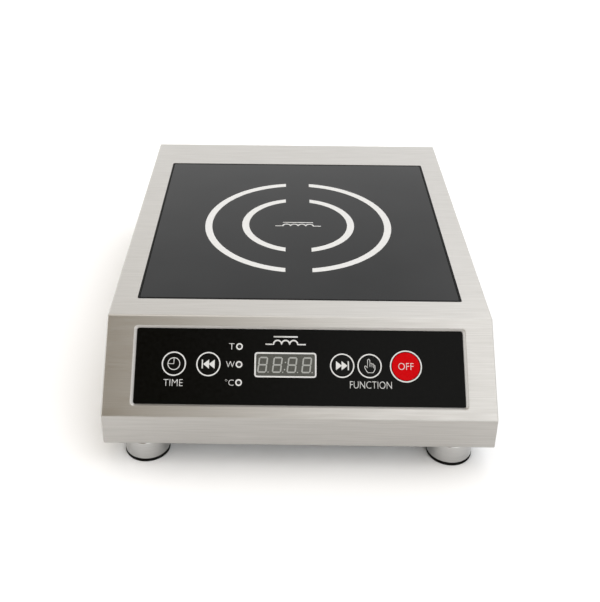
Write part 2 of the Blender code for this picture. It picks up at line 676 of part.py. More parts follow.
def make_feet():
    """Four levelling feet."""
    cup_bottom = FOOT_PAD_SHOWN + GAP
    cup_top = BASE_BOTTOM - GAP
    ceiling = cup_top - FOOT_CUP_ROOF
    hollow = FOOT_RADIUS - FOOT_CUP_WALL
    stud_top = BASE_TOP + WELD_NUT_HEIGHT + FOOT_TRAVEL + STUD_SPARE
    cup_profile = [
        (0, stud_top),
        (STUD_RADIUS - EDGE_BREAK, stud_top),
        (STUD_RADIUS, stud_top - EDGE_BREAK),
        (STUD_RADIUS, cup_top),
        (FOOT_RADIUS - EDGE_BREAK, cup_top),
        (FOOT_RADIUS, cup_top - EDGE_BREAK),
        (FOOT_RADIUS, cup_bottom),
        (hollow, cup_bottom),
        (hollow, ceiling),
        (0, ceiling),
    ]
    pad_profile = [
        (0, ceiling - GAP),
        (hollow - GAP, ceiling - GAP),
        (hollow - GAP, FOOT_PAD_SHOWN),
        (FOOT_RADIUS + FOOT_PAD_PROUD, FOOT_PAD_SHOWN),
        (FOOT_RADIUS + FOOT_PAD_PROUD, FOOT_PAD_CHAMFER),
        (FOOT_RADIUS - FOOT_PAD_CHAMFER, 0),
        (0, 0),
    ]
    for place, (x, y) in FEET.items():
        cup = bmesh.new()
        add_turned(cup, cup_profile, ROUND_STEPS)
        piece(f"foot_cup_{place}", cup, STAINLESS, location=(x, y, 0))
        pad = bmesh.new()
        add_turned(pad, pad_profile, ROUND_STEPS)
        piece(f"foot_pad_{place}", pad, RUBBER, location=(x, y, 0))


def make_panel(slope):
    """The black panel, the backing behind it and the board with its switches."""
    middle = (0, -PANEL_DROP, 0)
    width = PANEL_WIDTH + 2 * PANEL_OVERLAP
    height = PANEL_HEIGHT + 2 * PANEL_OVERLAP
    sheet = bmesh.new()
    add_prism(sheet, rounded(width, height, PANEL_CORNER), PANEL_BACK, PANEL_FACE)
    panel = piece("control_panel", sheet, PANEL_BLACK, slope, middle)
    windows = bmesh.new()
    add_panel_holes(windows, PANEL_BACK - SHEET, PANEL_FACE + SHEET, 0)
    combine(panel, "DIFFERENCE", "panel_windows", windows, slope, middle)

    plate = bmesh.new()
    add_prism(plate, rounded(width, height, PANEL_CORNER), BACKING_BACK, BACKING_FACE)
    backing = piece("panel_backing", plate, ALUMINIUM, slope, middle)
    posts = bmesh.new()
    post_x = width / 2 - BOARD_POST_INSET[0]
    post_y = height / 2 - BOARD_POST_INSET[1]
    for x in (-post_x, post_x):
        for y in (-post_y, post_y):
            place = Matrix.Translation((x, y, 0))
            low = CONTROL_BOARD_TOP + GAP
            add_rod(posts, BOARD_POST_RADIUS, low, BACKING_FACE - GAP, NARROW_STEPS, place)
    combine(backing, "UNION", "backing_posts", posts, slope, middle)
    holes = bmesh.new()
    add_panel_holes(holes, BACKING_BACK - GAP, BACKING_FACE + SHEET, KEY_FLANGE)
    combine(backing, "DIFFERENCE", "backing_holes", holes, slope, middle)

    board = bmesh.new()
    board_width = width - 2 * CONTROL_BOARD_INSET
    board_height = height - 2 * CONTROL_BOARD_INSET
    outline = rounded(board_width, board_height, PANEL_CORNER)
    add_prism(board, outline, CONTROL_BOARD_TOP - CONTROL_BOARD_THICKNESS, CONTROL_BOARD_TOP)
    board_item = piece("control_board", board, BOARD_GREEN, slope, middle)
    switches = bmesh.new()
    half = SWITCH_SIDE / 2
    low = CONTROL_BOARD_TOP - CONTROL_BOARD_THICKNESS / 2
    high = CONTROL_BOARD_TOP + SWITCH_HEIGHT
    for x, _ in KEYS.values():
        place = Matrix.Translation((x, KEY_ROW, 0))
        add_block(switches, (-half, -half, low), (half, half, high), place)
    combine(board_item, "UNION", "switch_bodies", switches, slope, middle)
    pins = bmesh.new()
    for x, _ in KEYS.values():
        place = Matrix.Translation((x, KEY_ROW, 0))
        add_rod(pins, SWITCH_PIN_RADIUS, high - SWITCH_HEIGHT / 2, SWITCH_TOP, NARROW_STEPS, place)
    combine(board_item, "UNION", "switch_pins", pins, slope, middle)


def add_panel_holes(bm, low, high, more):
    """Adds the cutters for the keys, the display and the lamps; more widens those of the keys."""
    for x, radius in KEYS.values():
        hole = radius - KEY_RING + more
        add_rod(bm, hole, low, high, ROUND_STEPS, Matrix.Translation((x, KEY_ROW, 0)))
    width = DISPLAY_WIDTH - 2 * DISPLAY_FRAME
    height = DISPLAY_HEIGHT - 2 * DISPLAY_FRAME
    outline = rounded(width, height, DISPLAY_CORNER, middle=(DISPLAY_X, KEY_ROW))
    add_prism(bm, outline, low, high)
    lamp_hole = LED_BODY_RADIUS + GAP if more else LED_HOLE_RADIUS
    for index in range(len(LEDS)):
        y = KEY_ROW + (1 - index) * LED_PITCH
        add_rod(bm, lamp_hole, low, high, NARROW_STEPS, Matrix.Translation((LED_X, y, 0)))


def make_keys(slope):
    """Five push keys; each has its origin on its own line of travel, in the panel's face."""
    flange_top = BACKING_FACE - PANEL_FACE
    stem_bottom = SWITCH_TOP + GAP + KEY_TRAVEL - PANEL_FACE
    for name, (x, radius) in KEYS.items():
        cap = radius - KEY_RING - GAP
        flange = cap + KEY_FLANGE
        key = bmesh.new()
        profile = [
            (0, 0),
            (cap, 0),
            (cap, flange_top),
            (flange, flange_top),
            (flange, flange_top - KEY_FLANGE_THICKNESS),
            (KEY_STEM_RADIUS, flange_top - KEY_FLANGE_THICKNESS),
            (KEY_STEM_RADIUS, stem_bottom),
            (0, stem_bottom),
        ]
        add_turned(key, profile, ROUND_STEPS)
        finish = KEY_RED if name == "key_off" else PANEL_BLACK
        piece(name, key, finish, slope, (x, KEY_ROW - PANEL_DROP, PANEL_FACE))


def make_display(slope):
    """The four-digit display and the three lamps beside it."""
    bottom = CONTROL_BOARD_TOP + GAP - PANEL_FACE
    shown = 2 * (DISPLAY_FRAME + GAP)
    module = bmesh.new()
    outline = rounded(DISPLAY_WIDTH - shown, DISPLAY_HEIGHT - shown, DISPLAY_CORNER)
    add_prism(module, outline, bottom, 0)
    place = (DISPLAY_X, KEY_ROW - PANEL_DROP, PANEL_FACE)
    piece("display_module", module, DISPLAY_GREY, slope, place)
    for index, name in enumerate(LEDS):
        lamp = bmesh.new()
        lens = LED_HOLE_RADIUS - GAP
        shoulder = BACKING_FACE - PANEL_FACE
        profile = [
            (0, 0),
            (lens, 0),
            (lens, shoulder),
            (LED_BODY_RADIUS, shoulder),
            (LED_BODY_RADIUS, bottom),
            (0, bottom),
        ]
        add_turned(lamp, profile, NARROW_STEPS)
        y = KEY_ROW + (1 - index) * LED_PITCH - PANEL_DROP
        piece(name, lamp, LED_CLEAR, slope, (LED_X, y, PANEL_FACE))


def make_coil():
    """The coil pack: mica, winding, former, ferrites, plate and the sensor in the middle."""
    axis = (0, COIL_Y, 0)
    former_radius = COIL_RADIUS + WIRE_WIDTH / 2 + FORMER_RIM
    sensor_hole = SENSOR_RADIUS + GAP
    mica = bmesh.new()
    add_tube(mica, sensor_hole, former_radius, MICA_TOP - MICA_THICKNESS, MICA_TOP, WIDE_STEPS)
    piece("mica_sheet", mica, MICA, location=axis)

    winding = bmesh.new()
    half = WIRE_WIDTH / 2
    section = [(-half, -WIRE_HEIGHT), (half, -WIRE_HEIGHT), (half, 0), (-half, 0)]
    radii = (COIL_HOLE_RADIUS + half, COIL_RADIUS - half)
    add_wound(winding, radii, (WIRE_TOP, WIRE_TOP), COIL_TURNS, WIRE_STEPS, section)
    piece("coil_winding", winding, COPPER, location=axis)

    former = bmesh.new()
    rim = former_radius - FORMER_RIM / 2
    profile = [
        (former_radius, WIRE_TOP),
        (former_radius, FORMER_TOP - FORMER_THICKNESS),
        (sensor_hole, FORMER_TOP - FORMER_THICKNESS),
        (sensor_hole, FORMER_TOP),
        (rim, FORMER_TOP),
        (rim, WIRE_TOP),
    ]
    add_turned(former, profile, WIDE_STEPS)
    piece("coil_former", former, WHITE_PLASTIC, location=axis)

    inner = (COIL_HOLE_RADIUS + COIL_RADIUS - FERRITE_LENGTH) / 2
    for index in range(FERRITES):
        bar = bmesh.new()
        corners = add_block(
            bar,
            (inner, -FERRITE_WIDTH / 2, FERRITE_TOP - FERRITE_HEIGHT),
            (inner + FERRITE_LENGTH, FERRITE_WIDTH / 2, FERRITE_TOP),
        )
        angle = 2 * math.pi * index / FERRITES
        bmesh.ops.rotate(bar, verts=corners, matrix=Matrix.Rotation(angle, 3, "Z"))
        piece(f"ferrite_bar_{index + 1}", bar, FERRITE, location=axis)

    plate = bmesh.new()
    low = COIL_PLATE_TOP - COIL_PLATE_THICKNESS
    add_rod(plate, former_radius, low, COIL_PLATE_TOP, WIDE_STEPS)
    piece("coil_plate", plate, ALUMINIUM, location=axis)

    sensor = bmesh.new()
    foot = COIL_PLATE_TOP + GAP
    profile = [
        (0, MICA_TOP),
        (SENSOR_RADIUS, MICA_TOP),
        (SENSOR_RADIUS, foot + SENSOR_FOOT_HEIGHT),
        (SENSOR_FOOT_RADIUS, foot + SENSOR_FOOT_HEIGHT),
        (SENSOR_FOOT_RADIUS, foot),
        (0, foot),
    ]
    add_turned(sensor, profile, ROUND_STEPS)
    piece("glass_sensor", sensor, WHITE_PLASTIC, location=axis)


def make_coil_support():
    """The bridge over the electronics and the springs that press the coil to the glass."""
    section = polygon(SPRING_WIRE / 2, SPRING_WIRE_SIDES)
    for index in range(3):
        angle = math.radians(90 + 120 * index)
        x = SPRING_CIRCLE * math.cos(angle)
        y = COIL_Y + SPRING_CIRCLE * math.sin(angle)
        low = BRIDGE_TOP + GAP + SPRING_WIRE / 2
        high = SPRING_TOP - SPRING_WIRE / 2
        spring = bmesh.new()
        radii = (SPRING_RADIUS, SPRING_RADIUS)
        add_wound(spring, radii, (low, high), SPRING_TURNS, SPRING_STEPS, section)
        piece(f"coil_spring_{index + 1}", spring, SPRING_STEEL, location=(x, y, 0))

    inside = BOARD_HALF_WIDTH + BRIDGE_CLEARANCE
    outside = inside + BRIDGE_THICKNESS
    toe = outside + BRIDGE_FOOT
    floor = ON_BASE
    right = [
        (toe, floor),
        (toe, floor + BRIDGE_THICKNESS),
        (outside, floor + BRIDGE_THICKNESS),
        (outside, BRIDGE_TOP),
    ]
    inner_right = [(inside, BRIDGE_TOP - BRIDGE_THICKNESS), (inside, floor)]
    outer_left = [(-x, z) for x, z in reversed(right)]
    inner_left = [(-x, z) for x, z in reversed(inner_right)]
    bridge = bmesh.new()
    outline = right + outer_left + inner_left + inner_right
    add_prism(bridge, outline, -BRIDGE_DEPTH / 2, BRIDGE_DEPTH / 2, UPRIGHT)
    piece("coil_bridge", bridge, GALVANISED, location=(0, COIL_Y, 0))


def make_fans():
    """Two cooling fans; each rotor has its origin on its axle."""
    for side, x in FANS.items():
        frame = bmesh.new()
        add_prism(frame, rounded(FAN_SIDE, FAN_SIDE, FAN_HOLE_INSET), 0, FAN_HEIGHT)
        place = (x, FAN_Y, ON_BASE)
        item = piece(f"fan_frame_{side}", frame, BLACK_PLASTIC, location=place)
        bore = bmesh.new()
        add_rod(bore, FAN_BORE_RADIUS, -FAN_HEIGHT, FAN_HEIGHT - FAN_MOUNT_HEIGHT, VENT_STEPS * 4)
        combine(item, "DIFFERENCE", f"fan_bore_{side}", bore, location=place)
        vents = bmesh.new()
        for quarter in range(4):
            add_vent(vents, math.radians(90 * quarter))
        combine(item, "DIFFERENCE", f"fan_vents_{side}", vents, location=place)
        holes = bmesh.new()
        reach = FAN_SIDE / 2 - FAN_HOLE_INSET
        for hole_x in (-reach, reach):
            for hole_y in (-reach, reach):
                at = Matrix.Translation((hole_x, hole_y, 0))
                add_rod(holes, FAN_HOLE_RADIUS, -FAN_HEIGHT, 2 * FAN_HEIGHT, NARROW_STEPS, at)
        combine(item, "DIFFERENCE", f"fan_holes_{side}", holes, location=place)
        make_rotor(side, place)


def add_vent(bm, start):
    """Adds one quarter of the way out past the motor mount, between two struts."""
    outer = []
    inner = []
    for index in range(VENT_STEPS + 1):
        share = index / VENT_STEPS
        for radius, arc in ((FAN_BORE_RADIUS, outer), (FAN_HUB_RADIUS, inner)):
            edge = math.asin(FAN_STRUT / 2 / radius)
            angle = start + edge + (math.radians(90) - 2 * edge) * share
            arc.append((radius * math.cos(angle), radius * math.sin(angle)))
    outline = outer + inner[::-1]
    low = FAN_HEIGHT - 2 * FAN_MOUNT_HEIGHT
    add_prism(bm, outline, low, FAN_HEIGHT + FAN_MOUNT_HEIGHT)


def make_rotor(side, place):
    """A hub with swept blades, turning under the motor mount."""
    hub_top = FAN_HEIGHT - FAN_MOUNT_HEIGHT - GAP
    hub_bottom = FAN_MOUNT_HEIGHT
    hub = bmesh.new()
    profile = [
        (0, hub_top),
        (FAN_HUB_RADIUS, hub_top),
        (FAN_HUB_RADIUS, hub_bottom + FAN_HUB_CHAMFER),
        (FAN_HUB_RADIUS - FAN_HUB_CHAMFER, hub_bottom),
        (0, hub_bottom),
    ]
    add_turned(hub, profile, ROUND_STEPS)
    rotor = piece(f"fan_rotor_{side}", hub, BLACK_PLASTIC, location=place)
    blades = bmesh.new()
    for index in range(FAN_BLADES):
        add_blade(blades, 2 * math.pi * index / FAN_BLADES, (hub_top + hub_bottom) / 2)
    combine(rotor, "UNION", f"fan_blades_{side}", blades, location=place)


def add_blade(bm, angle, height):
    """Adds one blade, lofted from inside the hub to its tip."""
    outward = Vector((math.cos(angle), math.sin(angle), 0))
    around = Vector((-math.sin(angle), math.cos(angle), 0))
    up = Vector((0, 0, 1))
    root = FAN_HUB_RADIUS - FAN_HUB_CHAMFER
    tip = FAN_BORE_RADIUS - FAN_TIP_GAP
    rings = []
    for share in (0, 1):
        pitch = BLADE_PITCH[0] + (BLADE_PITCH[1] - BLADE_PITCH[0]) * share
        chord = BLADE_CHORD[0] + (BLADE_CHORD[1] - BLADE_CHORD[0]) * share
        along = around * math.cos(pitch) + up * math.sin(pitch)
        across = up * math.cos(pitch) - around * math.sin(pitch)
        centre = outward * (root + (tip - root) * share) + up * height
        ring = []
        for half, side in ((-1, -1), (1, -1), (1, 1), (-1, 1)):
            point = centre + along * (half * chord / 2) + across * (side * BLADE_THICKNESS / 2)
            ring.append(bm.verts.new(point))
        rings.append(ring)
    for here, ahead in zip(rings, rings[1:]):
        for corner in range(4):
            after = (corner + 1) % 4
            bm.faces.new((here[corner], here[after], ahead[after], ahead[corner]))
    bm.faces.new(rings[0])
    bm.faces.new(rings[-1])


def make_power_board():
    """The power board and what stands on it."""
    board = bmesh.new()
    add_block(
        board,
        (-BOARD_HALF_WIDTH, BOARD_FRONT, BOARD_BOTTOM),
        (BOARD_HALF_WIDTH, BOARD_REAR, BOARD_BOTTOM + BOARD_THICKNESS),
    )
    piece("power_board", board, BOARD_GREEN)

    for name, (x, width) in PACKAGES.items():
        package = bmesh.new()
        half = width / 2
        ends = PACKAGE_DEPTH / 2
        add_block(package, (-half, -ends, 0), (half, ends, PACKAGE_THICKNESS))
        item = piece(name, package, BLACK_PLASTIC, location=(x, COIL_Y, ON_BOARD))
        leads = bmesh.new()
        for lead in (-1, 0, 1):
            middle = lead * width / 3
            add_block(
                leads,
                (middle - PACKAGE_LEAD / 2, -ends - PACKAGE_LEAD_LENGTH, PACKAGE_THICKNESS / 2),
                (middle + PACKAGE_LEAD / 2, PACKAGE_LEAD - ends, PACKAGE_THICKNESS / 2 + PACKAGE_LEAD),
            )
        combine(item, "UNION", f"{name}_leads", leads, location=(x, COIL_Y, ON_BOARD))

    low = ON_BOARD + PACKAGE_THICKNESS + GAP
    high = BRIDGE_TOP - BRIDGE_THICKNESS - HEATSINK_HEADROOM
    pitch = (HEATSINK_WIDTH - HEATSINK_FIN) / (HEATSINK_FINS - 1)
    comb = [(HEATSINK_WIDTH / 2, low), (HEATSINK_WIDTH / 2, high)]
    for fin in range(HEATSINK_FINS - 1):
        edge = HEATSINK_WIDTH / 2 - HEATSINK_FIN - fin * pitch
        after = edge + HEATSINK_FIN - pitch
        comb += [(edge, high), (edge, low + HEATSINK_BASE)]
        comb += [(after, low + HEATSINK_BASE), (after, high)]
    comb += [(-HEATSINK_WIDTH / 2, high), (-HEATSINK_WIDTH / 2, low)]
    sink = bmesh.new()
    add_prism(sink, comb, -HEATSINK_DEPTH / 2, HEATSINK_DEPTH / 2, UPRIGHT)
    piece("heatsink", sink, ALUMINIUM, location=(0, COIL_Y, 0))

    row = BOARD_REAR - REAR_ROW
    cans = (
        ("smoothing_capacitor", SMOOTHING_X, SMOOTHING_SIZE),
        ("resonant_capacitor", RESONANT_X, RESONANT_SIZE),
    )
    for name, x, size in cans:
        can = bmesh.new()
        outline = rounded(size[0], size[1], CAN_CORNER)
        add_prism(can, outline, 0, size[2])
        piece(name, can, CAPACITOR_YELLOW, location=(x, row, ON_BOARD))

    choke = bmesh.new()
    corner = CHOKE_ROUNDING
    profile = [
        (CHOKE_RADIUS, CHOKE_HEIGHT - corner),
        (CHOKE_RADIUS, corner),
        (CHOKE_RADIUS - corner, 0),
        (CHOKE_HOLE_RADIUS, 0),
        (CHOKE_HOLE_RADIUS, CHOKE_HEIGHT),
        (CHOKE_RADIUS - corner, CHOKE_HEIGHT),
    ]
    add_turned(choke, profile, ROUND_STEPS)
    piece("filter_choke", choke, COPPER, location=(CHOKE_X, row, ON_BOARD))


def make_inlet():
    """The cable gland in the rear wall and the terminal block behind it."""
    place = (GLAND_X, BACK, GLAND_Z)
    hex_front = GAP
    hex_rear = GAP + GLAND_HEX_LENGTH
    inside = -SHEET - GLAND_TAIL
    body = bmesh.new()
    add_prism(body, hexagon(GLAND_HEX), hex_front, hex_rear, BACKWARDS)
    item = piece("gland_body", body, BLACK_PLASTIC, location=place)
    threads = bmesh.new()
    neck_end = hex_rear + GLAND_NECK_LENGTH
    half_hex = (hex_front + hex_rear) / 2
    profile = [
        (0, neck_end),
        (GLAND_NECK_RADIUS, neck_end),
        (GLAND_NECK_RADIUS, half_hex),
        (GLAND_THREAD_RADIUS, half_hex),
        (GLAND_THREAD_RADIUS, inside),
        (0, inside),
    ]
    add_turned(threads, profile, ROUND_STEPS, BACKWARDS)
    combine(item, "UNION", "gland_threads", threads, location=place)
    bore = bmesh.new()
    add_rod(bore, GLAND_BORE_RADIUS, 2 * inside, 2 * neck_end, ROUND_STEPS, BACKWARDS)
    combine(item, "DIFFERENCE", "gland_bore", bore, location=place)

    cap_front = hex_rear + GAP
    cap_rear = cap_front + GLAND_CAP_LENGTH
    socket = GLAND_NECK_RADIUS + GAP
    socket_end = neck_end + GAP
    cap = bmesh.new()
    profile = [
        (GLAND_BORE_RADIUS + EDGE_BREAK, cap_rear),
        (GLAND_CAP_RADIUS - GLAND_CAP_TAPER[0], cap_rear),
        (GLAND_CAP_RADIUS, cap_rear - GLAND_CAP_TAPER[1]),
        (GLAND_CAP_RADIUS, cap_front),
        (socket, cap_front),
        (socket, socket_end),
        (GLAND_BORE_RADIUS, socket_end),
        (GLAND_BORE_RADIUS, cap_rear - EDGE_BREAK),
    ]
    add_turned(cap, profile, ROUND_STEPS, BACKWARDS)
    piece("gland_cap", cap, BLACK_PLASTIC, location=place)

    nut = bmesh.new()
    nut_rear = -SHEET - GAP
    add_prism(nut, hexagon(GLAND_HEX), nut_rear - GLAND_NUT_LENGTH, nut_rear, BACKWARDS)
    nut_item = piece("gland_locknut", nut, BLACK_PLASTIC, location=place)
    hole = bmesh.new()
    add_rod(hole, GLAND_THREAD_RADIUS + GAP, 2 * inside, SHEET, ROUND_STEPS, BACKWARDS)
    combine(nut_item, "DIFFERENCE", "locknut_hole", hole, location=place)

    width, depth, height = TERMINAL_SIZE
    block = bmesh.new()
    add_block(block, (-width / 2, -depth / 2, 0), (width / 2, depth / 2, height))
    place = (TERMINAL_X, BACK - TERMINAL_SETBACK, ON_BASE)
    block_item = piece("mains_terminal_block", block, WHITE_PLASTIC, location=place)
    entries = bmesh.new()
    for pole in (-1, 0, 1):
        at = Matrix.Translation((pole * width / 3, depth / 2, height / 2)) @ BACKWARDS
        low = -TERMINAL_HOLE_DEPTH
        add_rod(entries, TERMINAL_HOLE_RADIUS, low, TERMINAL_HOLE_DEPTH, NARROW_STEPS, at)
    combine(block_item, "DIFFERENCE", "terminal_entries", entries, location=place)


def main():
    """Builds the hob from its sizes."""
    clear_scene()
    slope = empty("slope_frame", (0, FOLD, TOP), SLOPE_ANGLE)
    make_housing(slope)
    make_glass()
    make_base()
    make_screws()
    make_feet()
    make_panel(slope)
    make_keys(slope)
    make_display(slope)
    make_coil()
    make_coil_support()
    make_fans()
    make_power_board()
    make_inlet()


main()
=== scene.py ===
"""Countertop induction hob: its finished look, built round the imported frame.

Metres, +Z up. The controls face -Y and +X is to the right of someone who stands in front.
"""

import logging
import math
from collections.abc import Callable, Iterator
from contextlib import contextmanager
from dataclasses import dataclass
from enum import Enum

import bmesh
import bpy
from mathutils import Matrix, Vector


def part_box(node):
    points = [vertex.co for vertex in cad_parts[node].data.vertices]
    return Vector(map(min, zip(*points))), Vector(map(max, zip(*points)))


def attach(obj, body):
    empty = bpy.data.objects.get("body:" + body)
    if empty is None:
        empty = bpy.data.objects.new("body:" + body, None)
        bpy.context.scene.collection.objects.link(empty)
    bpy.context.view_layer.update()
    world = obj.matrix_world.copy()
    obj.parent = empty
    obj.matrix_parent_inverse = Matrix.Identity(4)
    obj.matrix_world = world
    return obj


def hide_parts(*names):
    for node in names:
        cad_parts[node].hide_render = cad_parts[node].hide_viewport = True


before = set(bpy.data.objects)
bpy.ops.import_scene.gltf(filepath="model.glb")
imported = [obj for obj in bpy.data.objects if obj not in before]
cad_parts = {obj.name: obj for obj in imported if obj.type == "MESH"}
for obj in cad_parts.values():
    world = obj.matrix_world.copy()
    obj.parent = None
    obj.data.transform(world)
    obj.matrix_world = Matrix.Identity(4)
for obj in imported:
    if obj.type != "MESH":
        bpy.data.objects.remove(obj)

MM = 0.001
INK = 0.03 * MM  # thickness of a printed mark
ON_FACE = 0.005 * MM  # a mark stands this far off what it is printed on
DOUBLES = 0.0005 * MM  # vertices nearer than this are one
FINE_STEPS = 64  # sides of a round piece
SMALL_STEPS = 32  # sides of a small round piece
ZONE_STEPS = 192  # sides of the cooking zone's rings
OPENING_PLAY = 0.3 * MM  # all round a piece that stands in an opening
KEY_FLANGE = 1.2 * MM  # a key's flange reaches this far under the panel
CORNERS = tuple(f"{end}_{side}" for end in ("front", "rear") for side in ("left", "right"))

Point = tuple[float, float]
Triple = tuple[float, float, float]
Test = Callable[..., bool]
log = logging.getLogger("hob")


class Part(Enum):
    """What a selection is made of."""

    EDGE = "EDGE"
    FACE = "FACE"


class Pattern(Enum):
    """How a finish varies over a surface."""

    SPECKLE = "speckle"
    SPANGLE = "spangle"
    TRACKS = "tracks"
    TURNS = "turns"


class Change(Enum):
    """How a value goes from one end of its range to the other."""

    EVEN = "LINEAR"
    EASED = "SMOOTHSTEP"


# ---------------------------------------------------------------- workbench


def deselect() -> None:
    """Leaves nothing selected."""
    bpy.ops.object.select_all(action="DESELECT")


def focus(*shapes: bpy.types.Object) -> None:
    """Selects these shapes alone and makes the first one active.

    Args:
        shapes: the objects to select.
    """
    deselect()
    for shape in shapes:
        shape.select_set(True)
    bpy.context.view_layer.objects.active = shapes[0]


@contextmanager
def editing(shape: bpy.types.Object) -> Iterator[None]:
    """Edit mode on one shape, with all of it selected.

    Args:
        shape: the mesh object to edit.
    """
    focus(shape)
    bpy.ops.object.mode_set(mode="EDIT")
    bpy.ops.mesh.select_all(action="SELECT")
    yield
    bpy.ops.object.mode_set(mode="OBJECT")


def pick(shape: bpy.types.Object, part: Part, test: Test) -> None:
    """Selects in edit mode only what passes a test.

    Args:
        shape: the mesh object in edit mode.
        part: the kind of element.
        test: says of a bmesh element whether it is wanted.
    """
    bpy.ops.mesh.select_mode(type=part.value)
    bpy.ops.mesh.select_all(action="DESELECT")
    mesh = bmesh.from_edit_mesh(shape.data)
    for element in {Part.EDGE: mesh.edges, Part.FACE: mesh.faces}[part]:
        if test(element):
            element.select_set(True)
    bmesh.update_edit_mesh(shape.data)


def settle(shape: bpy.types.Object, place: Matrix | None = None) -> None:
    """Moves a shape to its place and puts that place into its mesh.

    Args:
        shape: the object to settle.
        place: where to move it first, if anywhere.
    """
    if place is not None:
        shape.matrix_world = place @ shape.matrix_world
    focus(shape)
    bpy.ops.object.transform_apply(location=True, rotation=True, scale=True)


def named(shape: bpy.types.Object, name: str) -> bpy.types.Object:
    """Names a shape and its data.

    Args:
        shape: the object to name.
        name: its new name.

    Returns:
        The same object.
    """
    shape.name = name
    shape.data.name = name
    return shape


def shaped_by(shape: bpy.types.Object, kind: str, **settings: object) -> None:
    """Adds a modifier and applies it.

    Args:
        shape: the object to change.
        kind: the modifier's type.
        settings: its properties.
    """
    focus(shape)
    modifier = shape.modifiers.new(kind.lower(), kind)
    for key, value in settings.items():
        setattr(modifier, key, value)
    bpy.ops.object.modifier_apply(modifier=modifier.name)


def cut(shape: bpy.types.Object, cutter: bpy.types.Object, operation: str = "DIFFERENCE") -> None:
    """Cuts one shape with another, or joins them, and removes the second.

    Args:
        shape: the piece to keep.
        cutter: the helper shape.
        operation: the Boolean's operation.
    """
    shaped_by(shape, "BOOLEAN", operation=operation, solver="EXACT", object=cutter)
    bpy.data.objects.remove(cutter)


def outward(shape: bpy.types.Object) -> None:
    """Merges doubles and turns the faces outwards.

    Args:
        shape: the mesh object to mend.
    """
    with editing(shape):
        bpy.ops.mesh.remove_doubles(threshold=DOUBLES)
        bpy.ops.mesh.normals_make_consistent(inside=False)


def smooth(shape: bpy.types.Object, degrees: float) -> None:
    """Shades round surfaces smooth and keeps flat ones flat.

    Args:
        shape: the mesh object to shade.
        degrees: an edge sharper than this stays sharp.
    """
    focus(shape)
    bpy.ops.object.shade_smooth_by_angle(angle=math.radians(degrees))
    shaped_by(shape, "WEIGHTED_NORMAL", keep_sharp=True, weight=80)


def joined(name: str, shapes: list[bpy.types.Object]) -> bpy.types.Object:
    """Makes several shapes one object.

    Args:
        name: the new object's name.
        shapes: what it is made of.

    Returns:
        The object.
    """
    focus(*shapes)
    bpy.ops.object.join()
    return named(shapes[0], name)


def copy_of(shape: bpy.types.Object, name: str, place: Matrix) -> bpy.types.Object:
    """A copy with its own mesh, moved to its place.

    Args:
        shape: the object to copy.
        name: the copy's name.
        place: where the copy goes.

    Returns:
        The copy.
    """
    focus(shape)
    bpy.ops.object.duplicate(linked=False)
    twin = named(bpy.context.object, name)
    settle(twin, place)
    return twin


def block(name: str, low: Vector, high: Vector) -> bpy.types.Object:
    """Starts a piece as a box.

    Args:
        name: the piece's name.
        low: the box's lowest corner.
        high: the corner across from it.

    Returns:
        The box.
    """
    deselect()
    bpy.ops.mesh.primitive_cube_add(size=1, location=(low + high) / 2, scale=high - low)
    shape = named(bpy.context.object, name)
    settle(shape)
    return shape


def upright(edge: bmesh.types.BMEdge) -> bool:
    """Whether an edge runs along Z."""
    step = edge.verts[0].co - edge.verts[1].co
    return abs(step.z) > 0 and step.xy.length < DOUBLES


def level(edge: bmesh.types.BMEdge) -> bool:
    """Whether an edge has both ends at one height."""
    return abs(edge.verts[0].co.z - edge.verts[1].co.z) < DOUBLES


def plate(
    name: str, size: Point, low: float, high: float, corner: float, steps: int = 6
) -> bpy.types.Object:
    """A flat plate with round corners, about the origin.

    Args:
        name: the piece's name.
        size: its width and depth.
        low: height of its underside.
        high: height of its upper face.
        corner: radius of its corners.
        steps: segments to a corner.

    Returns:
        The plate.
    """
    half = Vector((size[0] / 2, size[1] / 2, 0))
    shape = block(name, Vector((0, 0, low)) - half, Vector((0, 0, high)) + half)
    with editing(shape):
        pick(shape, Part.EDGE, upright)
        bpy.ops.mesh.bevel(offset=corner, segments=steps, affect="EDGES")
    return shape


def turned(
    name: str, profile: list[Point], steps: int = FINE_STEPS, hollow: bool = False
) -> bpy.types.Object:
    """A piece turned about Z: a circle drawn out ring by ring.

    Args:
        name: the piece's name.
        profile: (radius, height) of each ring.
        steps: sides of each ring.
        hollow: joins the last ring to the first, where otherwise both are capped.

    Returns:
        The piece.
    """
    deselect()
    radius, height = profile[0]
    bpy.ops.mesh.primitive_circle_add(
        vertices=steps, radius=radius, fill_type="NOTHING", location=(0, 0, height)
    )
    shape = named(bpy.context.object, name)
    settle(shape)
    with editing(shape):
        bpy.ops.mesh.select_mode(type="EDGE")
        for wider, higher in profile[1:]:
            rise = {"value": (0, 0, higher - height)}
            bpy.ops.mesh.extrude_region_move(TRANSFORM_OT_translate=rise)
            scale = wider / radius
            bpy.ops.transform.resize(value=(scale, scale, 1), center_override=(0, 0, higher))
            radius, height = wider, higher
        if hollow:
            pick(shape, Part.EDGE, lambda edge: edge.is_boundary)
            bpy.ops.mesh.bridge_edge_loops()
        else:
            bpy.ops.mesh.select_all(action="SELECT")
            bpy.ops.mesh.fill_holes(sides=0)
    outward(shape)
    return shape


def thickened(shape: bpy.types.Object) -> bpy.types.Object:
    """Gives a flat mark its thickness, standing on the plane it was drawn in.

    Args:
        shape: the flat mark.

    Returns:
        The same mark.
    """
    shaped_by(shape, "SOLIDIFY", thickness=INK, offset=0)
    settle(shape, Matrix.Translation((0, 0, INK / 2 + ON_FACE)))
    outward(shape)
    return shape


